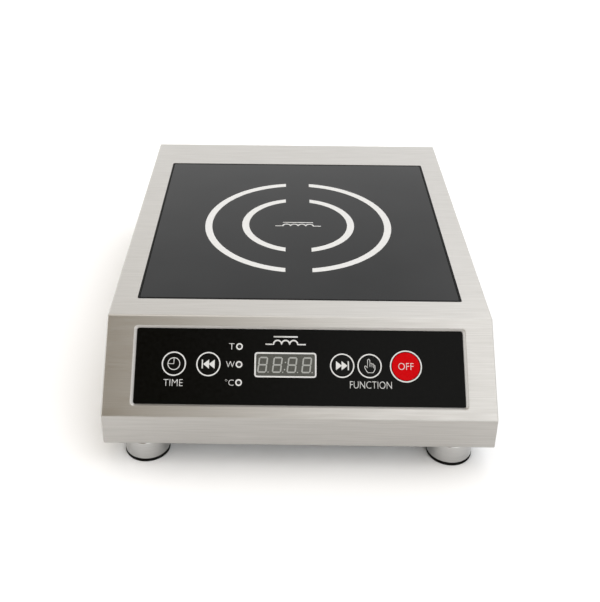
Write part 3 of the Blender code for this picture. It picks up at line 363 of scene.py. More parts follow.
def drawn_ring(name: str, outer: float, stroke: float, steps: int = FINE_STEPS) -> bpy.types.Object:
    """A flat ring about the origin, without thickness.

    Args:
        name: the mark's name.
        outer: its outer radius.
        stroke: how wide its line is.
        steps: its sides.

    Returns:
        The flat ring.
    """
    deselect()
    bpy.ops.mesh.primitive_circle_add(vertices=steps, radius=outer, fill_type="NOTHING")
    shape = named(bpy.context.object, name)
    scale = 1 - stroke / outer
    with editing(shape):
        bpy.ops.mesh.extrude_region_move()
        bpy.ops.transform.resize(value=(scale, scale, 1), center_override=(0, 0, 0))
    return shape


def drawn_patch(name: str, size: Point) -> bpy.types.Object:
    """A flat rectangle about the origin, without thickness.

    Args:
        name: the mark's name.
        size: its width and height.

    Returns:
        The flat rectangle.
    """
    deselect()
    bpy.ops.mesh.primitive_plane_add(size=1)
    shape = named(bpy.context.object, name)
    shape.scale = (*size, 1)
    settle(shape)
    return shape


def drawn_frame(name: str, size: Point, corner: float, stroke: float) -> bpy.types.Object:
    """A flat rectangular frame with round corners about the origin, without thickness.

    Args:
        name: the mark's name.
        size: its outer width and height.
        corner: radius of its corners.
        stroke: how wide its line is.

    Returns:
        The flat frame.
    """
    shape = drawn_patch(name, size)
    with editing(shape):
        bpy.ops.mesh.bevel(offset=corner, segments=6, affect="VERTICES")
        pick(shape, Part.FACE, lambda face: True)
        bpy.ops.mesh.inset(thickness=stroke)
        bpy.ops.mesh.delete(type="ONLY_FACE")
    return shape


def drawn_bar(name: str, size: Point, middle: Point, point: float = 0.0) -> bpy.types.Object:
    """A flat bar without thickness, with its ends brought nearly to a point if asked.

    Args:
        name: the mark's name.
        size: its width and height.
        middle: where it lies.
        point: how much is cut from each corner.

    Returns:
        The flat bar.
    """
    shape = drawn_patch(name, size)
    if point:
        with editing(shape):
            bpy.ops.mesh.bevel(offset=point, segments=1, affect="VERTICES")
    settle(shape, Matrix.Translation((*middle, 0)))
    return shape


def drawn_spot(
    name: str, sides: int, radius: float, middle: Point = (0.0, 0.0), turn: float = 0.0
) -> bpy.types.Object:
    """A flat filled polygon without thickness.

    Args:
        name: the mark's name.
        sides: how many sides it has.
        radius: from its middle to its corners.
        middle: where it lies.
        turn: its turn about its middle.

    Returns:
        The flat polygon.
    """
    deselect()
    place = {"location": (*middle, 0), "rotation": (0, 0, turn)}
    bpy.ops.mesh.primitive_circle_add(vertices=sides, radius=radius, fill_type="NGON", **place)
    shape = named(bpy.context.object, name)
    settle(shape)
    return shape


def line_mark(
    name: str, points: list[Point], width: float, closed: bool = False
) -> bpy.types.Object:
    """A stroke of even width along points, flattened from a round one, with its thickness.

    Args:
        name: the mark's name.
        points: where the stroke runs.
        width: how wide it is.
        closed: joins its end to its start.

    Returns:
        The mark.
    """
    deselect()
    bpy.ops.curve.primitive_nurbs_path_add()
    curve = named(bpy.context.object, name).data
    curve.splines.clear()
    spline = curve.splines.new("POLY")
    spline.points.add(len(points) - 1)
    for knot, (x, y) in zip(spline.points, points):
        knot.co = (x, y, 0, 1)
    spline.use_cyclic_u = closed
    curve.bevel_depth = width / 2
    curve.bevel_resolution = 1
    curve.use_fill_caps = True
    bpy.ops.object.convert(target="MESH")
    shape = bpy.context.object
    shape.scale = (1, 1, INK / width)
    settle(shape)
    settle(shape, Matrix.Translation((0, 0, INK / 2 + ON_FACE)))
    outward(shape)
    return shape


def lettering(name: str, words: str, size: Point) -> bpy.types.Object:
    """Words fitted to a width and a height, about the origin, with their thickness.

    Args:
        name: the mark's name.
        words: what it says.
        size: its width and height.

    Returns:
        The mark.
    """
    deselect()
    bpy.ops.object.text_add()
    text = bpy.context.object.data
    text.body = words
    text.size = size[1]
    text.resolution_u = 4
    text.offset = -0.013 * text.size  # thins the strokes a little
    bpy.ops.object.convert(target="MESH")
    shape = named(bpy.context.object, name)
    corners = [vertex.co for vertex in shape.data.vertices]
    low = Vector(min(corner[axis] for corner in corners) for axis in range(3))
    high = Vector(max(corner[axis] for corner in corners) for axis in range(3))
    settle(shape, Matrix.Translation(-(low + high) / 2))
    shape.scale = (size[0] / (high.x - low.x), size[1] / (high.y - low.y), 1)
    settle(shape)
    return thickened(shape)


def coil_symbol(name: str, width: float, line: float, humps: int = 4) -> bpy.types.Object:
    """The plain symbol for an induction coil: a row of humps between two leads, under a bar.

    Args:
        name: the mark's name.
        width: its whole width.
        line: the width of its line.
        humps: how many turns it shows.

    Returns:
        The mark.
    """
    radius = width / (2 * humps + 4)
    steps = 12  # to a hump
    points = [(-width / 2, 0.0)]
    for hump in range(humps):
        centre = (2 * hump + 1 - humps) * radius
        for step in range(steps + 1):
            angle = math.pi * (1 - step / steps)
            points.append((centre + radius * math.cos(angle), radius * math.sin(angle)))
    points.append((width / 2, 0.0))
    coil = line_mark(f"{name}_coil", points, line)
    settle(coil, Matrix.Translation((0, -radius, 0)))
    reach, up = humps * radius, radius * 0.9
    return joined(name, [coil, line_mark(f"{name}_bar", [(-reach, up), (reach, up)], line)])


# ---------------------------------------------------------------- finishes


class Nodes:
    """A node tree that is put together one node at a time."""

    def __init__(self, tree: bpy.types.NodeTree) -> None:
        """Takes up a tree."""
        self.tree = tree

    def feed(self, node: bpy.types.Node, inputs: dict) -> None:
        """Sets a node's sockets.

        Args:
            node: the node.
            inputs: by socket, a value or another node's output to link.
        """
        for key, value in inputs.items():
            socket = node.inputs[key]
            if isinstance(value, bpy.types.NodeSocket):
                self.tree.links.new(value, socket)
            else:
                socket.default_value = value

    def add(self, kind: str, inputs: dict, **settings: object) -> bpy.types.Node:
        """Adds a node.

        Args:
            kind: its type.
            inputs: what its sockets get.
            settings: its properties.

        Returns:
            The node.
        """
        node = self.tree.nodes.new(kind)
        for key, value in settings.items():
            setattr(node, key, value)
        self.feed(node, inputs)
        return node

    def spread(
        self,
        source: bpy.types.NodeSocket,
        span: Point,
        onto: Point = (0.0, 1.0),
        change: Change = Change.EVEN,
    ) -> bpy.types.NodeSocket:
        """Brings a value from one range to another.

        Args:
            source: the value.
            span: the range it is taken from.
            onto: the range it is brought to.
            change: how it goes from end to end.

        Returns:
            The new value.
        """
        inputs = {"Value": source, "From Min": span[0], "From Max": span[1]}
        inputs.update({"To Min": onto[0], "To Max": onto[1]})
        node = self.add("ShaderNodeMapRange", inputs, interpolation_type=change.value)
        return node.outputs["Result"]

    def colours(
        self,
        source: bpy.types.NodeSocket,
        first: Triple,
        second: Triple,
        places: Point = (0.0, 1.0),
    ) -> bpy.types.NodeSocket:
        """Goes between two colours by a value.

        Args:
            source: the value.
            first: the colour at its low end.
            second: the colour at its high end.
            places: the two ends.

        Returns:
            The colour.
        """
        ramp = self.add("ShaderNodeValToRGB", {"Fac": source})
        for element, place, colour in zip(ramp.color_ramp.elements, places, (first, second)):
            element.position = place
            element.color = (*colour, 1)
        return ramp.outputs["Color"]


class Surface(Nodes):
    """The nodes of one material."""

    MIDDLE = (0.3, 0.7)  # most of a pattern's values lie between these

    def __init__(self, name: str) -> None:
        """Starts a material with its Principled shader.

        Args:
            name: the material's name.
        """
        self.material = bpy.data.materials.new(name)
        self.material.use_nodes = True
        super().__init__(self.material.node_tree)
        self.shader = self.tree.nodes["Principled BSDF"]

    def mapped(self, cell: Triple) -> bpy.types.NodeSocket:
        """The object's own axes, measured in cells.

        Args:
            cell: a cell's size along each axis.

        Returns:
            The place in cells.
        """
        where = self.add("ShaderNodeTexCoord", {}).outputs["Object"]
        inputs = {"Vector": where, "Scale": [1 / length for length in cell]}
        return self.add("ShaderNodeMapping", inputs).outputs["Vector"]

    def noise(self, cell: Triple, detail: float = 3.0) -> bpy.types.NodeSocket:
        """Noise whose cells have these sizes along the object's axes."""
        inputs = {"Vector": self.mapped(cell), "Scale": 1.0, "Detail": detail}
        return self.add("ShaderNodeTexNoise", inputs).outputs[0]

    def tint(self, source: bpy.types.NodeSocket, first: Triple, second: Triple) -> None:
        """Colours the surface between two colours by a pattern."""
        colour = self.colours(source, first, second, self.MIDDLE)
        self.feed(self.shader, {"Base Color": colour})

    def roughen(self, source: bpy.types.NodeSocket, onto: Point) -> None:
        """Gives the surface a roughness in a range, by a pattern."""
        self.feed(self.shader, {"Roughness": self.spread(source, self.MIDDLE, onto)})

    def relief(self, source: bpy.types.NodeSocket, depth: float) -> None:
        """Raises the surface by a pattern."""
        inputs = {"Height": source, "Distance": depth, "Strength": 1.0}
        self.feed(self.shader, {"Normal": self.add("ShaderNodeBump", inputs).outputs["Normal"]})


@dataclass(frozen=True)
class Finish:
    """A finish whose colour, gloss and relief follow one pattern."""

    colour: Triple
    second: Triple
    roughness: Point
    cell: Triple
    metallic: float = 0.0
    depth: float = 0.0
    coat: float = 0.0
    specular: float = 0.5
    pattern: Pattern = Pattern.SPECKLE

    def source(self, surface: Surface) -> bpy.types.NodeSocket:
        """The pattern's value over the surface.

        Args:
            surface: the material's nodes.

        Returns:
            The value, from 0 to 1.
        """
        if self.pattern is Pattern.SPECKLE:
            return surface.noise(self.cell)
        inputs = {"Vector": surface.mapped(self.cell), "Scale": 1.0}
        if self.pattern is Pattern.SPANGLE:
            cells = surface.add("ShaderNodeTexVoronoi", inputs).outputs["Color"]
            return surface.add("ShaderNodeRGBToBW", {"Color": cells}).outputs["Val"]
        if self.pattern is Pattern.TRACKS:
            for key, grey in (("Color1", 0.0), ("Color2", 0.4), ("Mortar", 1.0)):
                inputs[key] = (grey, grey, grey, 1)
            inputs["Mortar Size"] = 0.06
            return surface.add("ShaderNodeTexBrick", inputs).outputs["Fac"]
        rings = surface.add("ShaderNodeTexWave", inputs, wave_type="RINGS", rings_direction="Z")
        return rings.outputs["Fac"]

    def material(self, name: str) -> bpy.types.Material:
        """The finish as a material.

        Args:
            name: the material's name.

        Returns:
            The material.
        """
        surface = Surface(name)
        source = self.source(surface)
        surface.tint(source, self.colour, self.second)
        surface.roughen(source, self.roughness)
        surface.feed(
            surface.shader,
            {
                "Metallic": self.metallic,
                "Coat Weight": self.coat,
                "Specular IOR Level": self.specular,
            },
        )
        if self.depth:
            surface.relief(source, self.depth)
        return surface.material


@dataclass(frozen=True)
class BrushedSteel:
    """Stainless sheet brushed along its length, with the grain turned on the sides."""

    colour: Triple = (0.455, 0.443, 0.424)
    second: Triple = (0.400, 0.388, 0.370)
    roughness: Point = (0.30, 0.42)
    streak: float = 38 * MM
    pitch: float = 0.65 * MM
    hairline: float = 0.18 * MM
    depth: float = 0.012 * MM
    turn: Point = (0.6, 0.8)  # how far a surface faces sideways where the grain turns

    def streaks(self, surface: Surface, pitch: float, detail: float) -> bpy.types.NodeSocket:
        """Streaks along X, or along Y where the surface faces sideways.

        Args:
            surface: the material's nodes.
            pitch: how wide a streak is.
            detail: how finely it is broken up.

        Returns:
            The streaks' value.
        """
        along_x = surface.noise((self.streak, pitch, pitch), detail)
        along_y = surface.noise((pitch, self.streak, pitch), detail)
        facing = surface.add("ShaderNodeTexCoord", {}).outputs["Normal"]
        side = surface.add("ShaderNodeSeparateXYZ", {"Vector": facing}).outputs["X"]
        size = surface.add("ShaderNodeMath", {0: side}, operation="ABSOLUTE").outputs[0]
        inputs = {0: surface.spread(size, self.turn), 2: along_x, 3: along_y}
        return surface.add("ShaderNodeMix", inputs, data_type="FLOAT").outputs[0]

    def material(self, name: str) -> bpy.types.Material:
        """The finish as a material.

        Args:
            name: the material's name.

        Returns:
            The material.
        """
        surface = Surface(name)
        broad = self.streaks(surface, self.pitch, 4.0)
        surface.tint(broad, self.colour, self.second)
        surface.roughen(broad, self.roughness)
        surface.feed(surface.shader, {"Metallic": 1.0})
        surface.relief(self.streaks(surface, self.hairline, 2.0), self.depth)
        return surface.material


# Each finish: its two colours, its roughness and the size of its pattern, then the rest.
STEEL = BrushedSteel()
SATIN_STEEL = Finish(
    (0.50, 0.495, 0.485), (0.45, 0.445, 0.435), (0.13, 0.20), (30 * MM, 30 * MM, 0.5 * MM),
    metallic=1.0, depth=0.006 * MM,
)
SCREW_STEEL = Finish(
    (0.60, 0.59, 0.57), (0.50, 0.49, 0.48), (0.22, 0.34), (0.6 * MM,) * 3,
    metallic=1.0, depth=0.004 * MM,
)
GLASS = Finish(
    (0.008, 0.0085, 0.009), (0.011, 0.0115, 0.012), (0.045, 0.085), (60 * MM,) * 3,
    specular=0.13,
)
OVERLAY = Finish(
    (0.0018, 0.0018, 0.0015), (0.003, 0.003, 0.0026), (0.16, 0.24), (3 * MM,) * 3,
    depth=0.002 * MM, specular=0.05,
)
KEY_CAP = Finish(
    (0.002, 0.002, 0.0017), (0.0034, 0.0034, 0.003), (0.16, 0.26), (1.2 * MM,) * 3,
    depth=0.002 * MM, specular=0.07,
)
KEY_RED = Finish(
    (0.44, 0.0, 0.0015), (0.49, 0.0004, 0.0025), (0.18, 0.28), (1.2 * MM,) * 3,
    depth=0.002 * MM, specular=0.03,
)
PRINT = Finish(
    (0.60, 0.60, 0.595), (0.55, 0.55, 0.545), (0.42, 0.56), (0.8 * MM,) * 3,
    depth=0.003 * MM, specular=0.2,
)
DISPLAY = Finish(
    (0.062, 0.063, 0.056), (0.078, 0.079, 0.070), (0.20, 0.30), (2 * MM,) * 3,
    specular=0.1,
)
DIGITS = Finish(
    (0.28, 0.285, 0.27), (0.33, 0.335, 0.32), (0.40, 0.50), (0.7 * MM,) * 3,
    specular=0.2,
)
LAMP = Finish(
    (0.012, 0.012, 0.012), (0.025, 0.025, 0.025), (0.08, 0.16), (0.8 * MM,) * 3,
    coat=0.2, specular=0.2,
)
SILICONE = Finish(
    (0.004, 0.004, 0.004), (0.008, 0.008, 0.008), (0.45, 0.65), (1.5 * MM,) * 3,
    depth=0.01 * MM, specular=0.08,
)
RUBBER = Finish(
    (0.002, 0.002, 0.002), (0.005, 0.005, 0.0045), (0.60, 0.80), (0.7 * MM,) * 3,
    depth=0.02 * MM, specular=0.06,
)
MOULDED = Finish(
    (0.014, 0.014, 0.015), (0.026, 0.026, 0.027), (0.40, 0.55), (0.5 * MM,) * 3,
    depth=0.012 * MM,
)
CREAM_PLASTIC = Finish(
    (0.74, 0.73, 0.69), (0.66, 0.65, 0.60), (0.45, 0.60), (0.6 * MM,) * 3,
    depth=0.01 * MM,
)
GALVANISED = Finish(
    (0.50, 0.52, 0.53), (0.66, 0.68, 0.69), (0.30, 0.50), (7 * MM,) * 3,
    metallic=1.0, pattern=Pattern.SPANGLE,
)
ALUMINIUM = Finish(
    (0.74, 0.75, 0.76), (0.64, 0.65, 0.66), (0.30, 0.44), (50 * MM, 0.8 * MM, 0.8 * MM),
    metallic=1.0, depth=0.006 * MM,
)
SPRING_WIRE = Finish(
    (0.42, 0.42, 0.43), (0.52, 0.52, 0.53), (0.22, 0.36), (0.5 * MM,) * 3,
    metallic=1.0,
)
COPPER = Finish(
    (0.66, 0.28, 0.12), (0.80, 0.42, 0.22), (0.24, 0.42), (5.4 * MM,) * 3,
    metallic=1.0, depth=0.2 * MM, pattern=Pattern.TURNS,
)
ENAMELLED = Finish(
    (0.62, 0.25, 0.10), (0.80, 0.42, 0.22), (0.22, 0.40), (30 * MM, 1.2 * MM, 1.2 * MM),
    metallic=1.0, depth=0.15 * MM,
)
MICA = Finish(
    (0.62, 0.54, 0.40), (0.44, 0.36, 0.25), (0.40, 0.70), (6 * MM,) * 3,
    depth=0.03 * MM,
)
FERRITE = Finish(
    (0.040, 0.040, 0.044), (0.075, 0.075, 0.08), (0.45, 0.65), (0.8 * MM,) * 3,
    depth=0.02 * MM,
)
CIRCUIT = Finish(
    (0.012, 0.13, 0.05), (0.05, 0.26, 0.11), (0.30, 0.45), (9 * MM, 4 * MM, 4 * MM),
    depth=0.03 * MM, pattern=Pattern.TRACKS,
)
POTTED = Finish(
    (0.74, 0.53, 0.07), (0.66, 0.46, 0.05), (0.32, 0.46), (1.5 * MM,) * 3,
    depth=0.01 * MM,
)

# The carried nodes and what each is made of, by the start of their names
CARRIED = {
    "housing": STEEL,
    "glass_plate": GLASS,
    "glass_seal": SILICONE,
    "glass_ledge": STEEL,
    "base_plate": GALVANISED,
    "base_screw": SCREW_STEEL,
    "control_panel": OVERLAY,
    "panel_backing": ALUMINIUM,
    "control_board": CIRCUIT,
    "power_board": CIRCUIT,
    "display_module": DISPLAY,
    "key_off": KEY_RED,
    "key_": KEY_CAP,
    "led_": LAMP,
    "foot_cup": SATIN_STEEL,
    "foot_pad": RUBBER,
    "mica_sheet": MICA,
    "coil_winding": COPPER,
    "coil_former": CREAM_PLASTIC,
    "coil_plate": ALUMINIUM,
    "coil_spring": SPRING_WIRE,
    "coil_bridge": GALVANISED,
    "ferrite_bar": FERRITE,
    "glass_sensor": CREAM_PLASTIC,
    "fan_": MOULDED,
    "igbt_": MOULDED,
    "bridge_rectifier": MOULDED,
    "heatsink": ALUMINIUM,
    "smoothing_capacitor": POTTED,
    "resonant_capacitor": POTTED,
    "filter_choke": ENAMELLED,
    "mains_terminal_block": CREAM_PLASTIC,
    "gland_": MOULDED,
}


def dress_frame() -> None:
    """Gives every carried node the material it is made of."""
    made: dict[str, bpy.types.Material] = {}
    for node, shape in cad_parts.items():
        start = next(start for start in CARRIED if node.startswith(start))
        if start not in made:
            made[start] = CARRIED[start].material(f"carried_{start.strip('_')}")
        for slot in shape.material_slots:
            slot.material = made[start]


class Dresser:
    """Gives finished pieces their materials, bodies and slots."""

    def __init__(self) -> None:
        """Starts with no materials made."""
        self.made: dict[int, bpy.types.Material] = {}

    def finish(
        self,
        shape: bpy.types.Object,
        finish: Finish | BrushedSteel,
        slot: str,
        body: str = "hob",
        stands_for: tuple[str, ...] = (),
    ) -> None:
        """Dresses one piece and ties it to the frame.

        Args:
            shape: the finished mesh.
            finish: what it is made of.
            slot: the material slot's name, which starts the material's name.
            body: the body it moves with.
            stands_for: the nodes it replaces.
        """
        if id(finish) not in self.made:
            self.made[id(finish)] = finish.material(f"{slot}_{len(self.made)}")
        shape.data.materials.clear()
        shape.data.materials.append(self.made[id(finish)])
        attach(shape, body)
        if stands_for:
            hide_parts(*stands_for)
        log.info("%s: %d faces, on %s", shape.name, len(shape.data.polygons), body)

    def print_on(
        self, mark: bpy.types.Object, place: Matrix, body: str = "hob", finish: Finish = PRINT
    ) -> None:
        """Puts a printed mark where it belongs and dresses it.

        Args:
            mark: the mark, about the origin.
            place: where it goes.
            body: the body it moves with.
            finish: its ink.
        """
        settle(mark, place)
        self.finish(mark, finish, "white_print", body)

    def set_out(
        self, pieces: list[tuple[bpy.types.Object, str, Finish, str]], moves: bool = True
    ) -> None:
        """The piece and each copy replace their own carried node.

        A copy keeps what the first piece says it replaces, beside its own node.

        Args:
            pieces: each piece, made about the origin, with the start of its carried nodes'
                names, its finish and its slot, whose last word ends the new names.
            moves: whether each piece is a body of its own.
        """
        start = Vector()
        for corner in CORNERS:
            for piece, kind, finish, slot in pieces:
                node = f"{kind}_{corner}"
                name = f"{node}_{slot.split('_')[-1]}"
                low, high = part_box(node)
                middle = Vector(((low.x + high.x) / 2, (low.y + high.y) / 2, 0))
                if corner == CORNERS[0]:
                    start = middle
                    shape = named(piece, name)
                    settle(shape, Matrix.Translation(middle))
                else:
                    shape = copy_of(piece, name, Matrix.Translation(middle - start))
                self.finish(shape, finish, slot, node if moves else "hob", (node,))


DRESSER = Dresser()


# ---------------------------------------------------------------- the hob


def across(node: str) -> Point:
    """A carried node's middle from left to right, and its width."""
    low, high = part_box(node)
    return (low.x + high.x) / 2, high.x - low.x


@dataclass
class Slope:
    """The sloped front that carries the panel, measured from the top fold."""

    run: float = 61 * MM
    rise: float = 59 * MM
    sink: float = 2.3 * MM  # of the panel's face below the steel
    key_row: float = 1.7 * MM  # of the row of keys above the panel's middle
    panel: float = 1.5 * MM  # thickness of the panel
    board: float = 11.4 * MM  # from the panel's face to the board behind it

    @property
    def angle(self) -> float:
        """The slope's tilt from level."""
        return math.atan2(self.rise, self.run)

    @property
    def panel_size(self) -> Point:
        """The panel's size.

        Returns:
            Its width, and its height measured up the slope.
        """
        low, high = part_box("control_panel")
        height = (high.z - low.z) / math.sin(self.angle) - self.panel / math.tan(self.angle)
        return high.x - low.x, height

    def place(self, x: float = 0.0, up: float = 0.0, out: float = 0.0) -> Matrix:
        """A place on the slope.

        Args:
            x: across, from the middle.
            up: up the slope, from the panel's middle.
            out: out of the steel's surface.

        Returns:
            The place, with Y up the slope and Z out of it.
        """
        low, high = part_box("housing")
        fold = Matrix.Translation((0, low.y + self.run, high.z))
        drop = math.hypot(self.run, self.rise) / 2
        return fold @ Matrix.Rotation(self.angle, 4, "X") @ Matrix.Translation((x, up - drop, out))

    def printed(self, x: float, up: float) -> Matrix:
        """A place on the panel's face."""
        return self.place(x, up, -self.sink)


@dataclass
class Housing:
    """The folded and welded stainless shell."""

    slope: Slope
    bend: float = 1.2 * MM
    bend_steps: int = 5
    sheet: float = 1.2 * MM
    flange: float = 12 * MM
    underside: float = 100 * 100 * MM * MM  # the flat underside is larger than this
    near_middle: float = 5 * MM  # of an opening, where the face to take out is found
    glass_joint: float = 2 * MM
    glass_corner: float = 2 * MM
    rolls: tuple[Point, ...] = (  # how far inward and down each step of the rolled edge goes
        (0.35 * MM, 0.1 * MM),
        (1.7 * MM, 1.5 * MM),
        (0.35 * MM, 0.7 * MM),
    )
    roll_corner: float = 4 * MM
    overlap: float = 4 * MM  # of the panel behind the steel
    slot: Point = (4 * MM, 42 * MM)
    slot_end: float = 0.498  # radius of a slot's ends, of its width
    slot_pitch: float = 9 * MM
    slots: int = 9
    slot_groups: Point = (-62 * MM, 62 * MM)
    slot_rise: float = 48 * MM
    gland_hole: float = 10.3 * MM

    def build(self) -> None:
        """Makes the shell, its openings and its rolled edges."""
        low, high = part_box("housing")
        shell = block("housing_shell", low, high)
        with editing(shell):
            self.fold(low, high)
            self.turn_in_flange(shell)
            self.open_top(shell, high)
            self.open_slope(shell)
        shaped_by(shell, "SOLIDIFY", thickness=self.sheet, offset=-1, use_even_offset=True)
        self.pierce_back(shell, low, high)
        smooth(shell, 25)
        DRESSER.finish(shell, STEEL, "housing_steel", stands_for=("housing",))

    def fold(self, low: Vector, high: Vector) -> None:
        """Cuts the slope off the box and rounds every bend.

        Args:
            low: the shell's lowest corner.
            high: the corner across from it.
        """
        bpy.ops.mesh.bisect(
            plane_co=(0, low.y + self.slope.run, high.z),
            plane_no=Vector((0, -self.slope.rise, self.slope.run)).normalized(),
            use_fill=True,
            clear_outer=True,
        )
        bpy.ops.mesh.select_all(action="SELECT")
        bpy.ops.mesh.bevel(offset=self.bend, segments=self.bend_steps, affect="EDGES")

    def turn_in_flange(self, shell: bpy.types.Object) -> None:
        """Opens the underside inside a flange.

        Args:
            shell: the shell, in edit mode.
        """

        def under(face: bmesh.types.BMFace) -> bool:
            """Whether a face is the flat underside."""
            return face.normal.z < -0.999 and face.calc_area() > self.underside

        pick(shell, Part.FACE, under)
        bpy.ops.mesh.inset(thickness=self.flange - self.bend)
        bpy.ops.mesh.delete(type="ONLY_FACE")

    def open_top(self, shell: bpy.types.Object, high: Vector) -> None:
        """Cuts the opening for the glass.

        Args:
            shell: the shell, in edit mode.
            high: its highest corner.
        """
        glass_low, glass_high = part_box("glass_plate")
        middle = (glass_low + glass_high) / 2
        half = (glass_high.x - glass_low.x) / 2 + self.glass_joint
        place = Matrix.Translation((middle.x, middle.y, high.z))
        self.open_side(shell, place, (half, half), self.glass_corner, 4)

    def open_slope(self, shell: bpy.types.Object) -> None:
        """Cuts the opening for the panel and rolls its edge inwards.

        Args:
            shell: the shell, in edit mode.
        """
        grown = sum(inward for inward, down in self.rolls) - self.overlap
        width, height = self.slope.panel_size
        half = (width / 2 + grown, height / 2 + grown)
        self.open_side(shell, self.slope.place(), half, self.roll_corner, 5, self.rolls)

    def open_side(
        self,
        shell: bpy.types.Object,
        place: Matrix,
        half: Point,
        corner: float,
        steps: int,
        rolls: tuple[Point, ...] = (),
    ) -> None:
        """Cuts an opening with round corners in a flat side of the shell.

        Args:
            shell: the shell, in edit mode.
            place: the opening's middle, with Z out of the side.
            half: half its width and half its height.
            corner: radius of its corners.
            steps: segments to a corner.
            rolls: how far inward and down each step of a rolled edge goes.
        """
        middle, turn = place.translation, place.to_3x3()
        ahead, up, out = ((turn @ axis).normalized() for axis in Matrix.Identity(3))

        def on_side(face: bmesh.types.BMFace) -> bool:
            """Whether a face lies in the side that is opened."""
            return face.normal.dot(out) > 0.9999

        def window(face: bmesh.types.BMFace) -> bool:
            """Whether a face is the one to take out."""
            offset = face.calc_center_median() - middle
            return on_side(face) and offset.length < self.near_middle

        for direction, reach in zip((ahead, up), half):
            for side in (-1, 1):
                pick(shell, Part.FACE, on_side)
                line = middle + direction * (side * reach)
                bpy.ops.mesh.bisect(plane_co=line, plane_no=direction)
        pick(shell, Part.FACE, window)
        bpy.ops.mesh.bevel(offset=corner, segments=steps, affect="VERTICES")
        pick(shell, Part.FACE, window)
        for inward, down in rolls:
            bpy.ops.mesh.inset(thickness=inward, depth=-down)
        bpy.ops.mesh.delete(type="ONLY_FACE")

    def pierce_back(self, shell: bpy.types.Object, low: Vector, high: Vector) -> None:
        """Cuts the louvres and the hole for the cable gland through the rear wall.

        Args:
            shell: the shell.
            low: its lowest corner.
            high: the corner across from it.
        """
        reach = 2 * self.sheet
        turn = Matrix.Rotation(math.radians(90), 4, "X")
        louvre = plate("louvre_tool", self.slot, -reach, reach, self.slot[0] * self.slot_end, 5)
        tools = []
        for group in self.slot_groups:
            for index in range(self.slots):
                x = group + (index - (self.slots - 1) / 2) * self.slot_pitch
                place = Matrix.Translation((x, high.y, low.z + self.slot_rise)) @ turn
                tools.append(copy_of(louvre, "louvre_tool", place))
        bpy.data.objects.remove(louvre)
        cap_low, cap_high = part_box("gland_cap")
        middle = (cap_low + cap_high) / 2
        hole = turned("gland_tool", [(self.gland_hole, -reach), (self.gland_hole, reach)])
        settle(hole, Matrix.Translation((middle.x, high.y, middle.z)) @ turn)
        cut(shell, joined("back_tools", [*tools, hole]))


@dataclass
class Glass:
    """The glass plate with the cooking zone printed on it."""

    edge: float = 0.6 * MM
    corner: float = 2 * MM
    sunk: float = 0.05 * MM  # leaves room for the print under the hob's full height
    zone_ahead: float = 2.3 * MM
    rings: Point = (93.4 * MM, 56.3 * MM)
    stroke: float = 7 * MM
    parting: float = 25 * MM
    symbol_width: float = 46 * MM
    symbol_line: float = 1.6 * MM

    def build(self) -> None:
        """Makes the plate and prints on it."""
        low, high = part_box("glass_plate")
        middle = (low + high) / 2
        side, top = high.x - low.x, high.z - self.sunk
        pane = plate("glass_pane", (side, side), low.z, top, self.corner)
        with editing(pane):
            pick(pane, Part.EDGE, lambda edge: level(edge) and edge.verts[0].co.z > top - DOUBLES)
            bpy.ops.mesh.bevel(offset=self.edge, segments=4, affect="EDGES")
        settle(pane, Matrix.Translation((middle.x, middle.y, 0)))
        smooth(pane, 50)
        DRESSER.finish(pane, GLASS, "black_glass", stands_for=("glass_plate",))
        self.print_zone(Matrix.Translation((middle.x, middle.y - self.zone_ahead, top)))

    def print_zone(self, place: Matrix) -> None:
        """Prints both rings, each in a left and a right arc, and the symbol between them.

        Args:
            place: the zone's middle.
        """
        for name, outer in zip(("outer", "inner"), self.rings):
            right = drawn_ring(f"zone_{name}_right", outer, self.stroke, ZONE_STEPS)
            with editing(right):
                start = (self.parting / 2, 0, 0)
                bpy.ops.mesh.bisect(plane_co=start, plane_no=(1, 0, 0), clear_inner=True)
            thickened(right)
            left = copy_of(right, f"zone_{name}_left", Matrix.Rotation(math.pi, 4, "Z"))
            for arc in (right, left):
                DRESSER.print_on(arc, place)
        DRESSER.print_on(coil_symbol("zone_symbol", self.symbol_width, self.symbol_line), place)


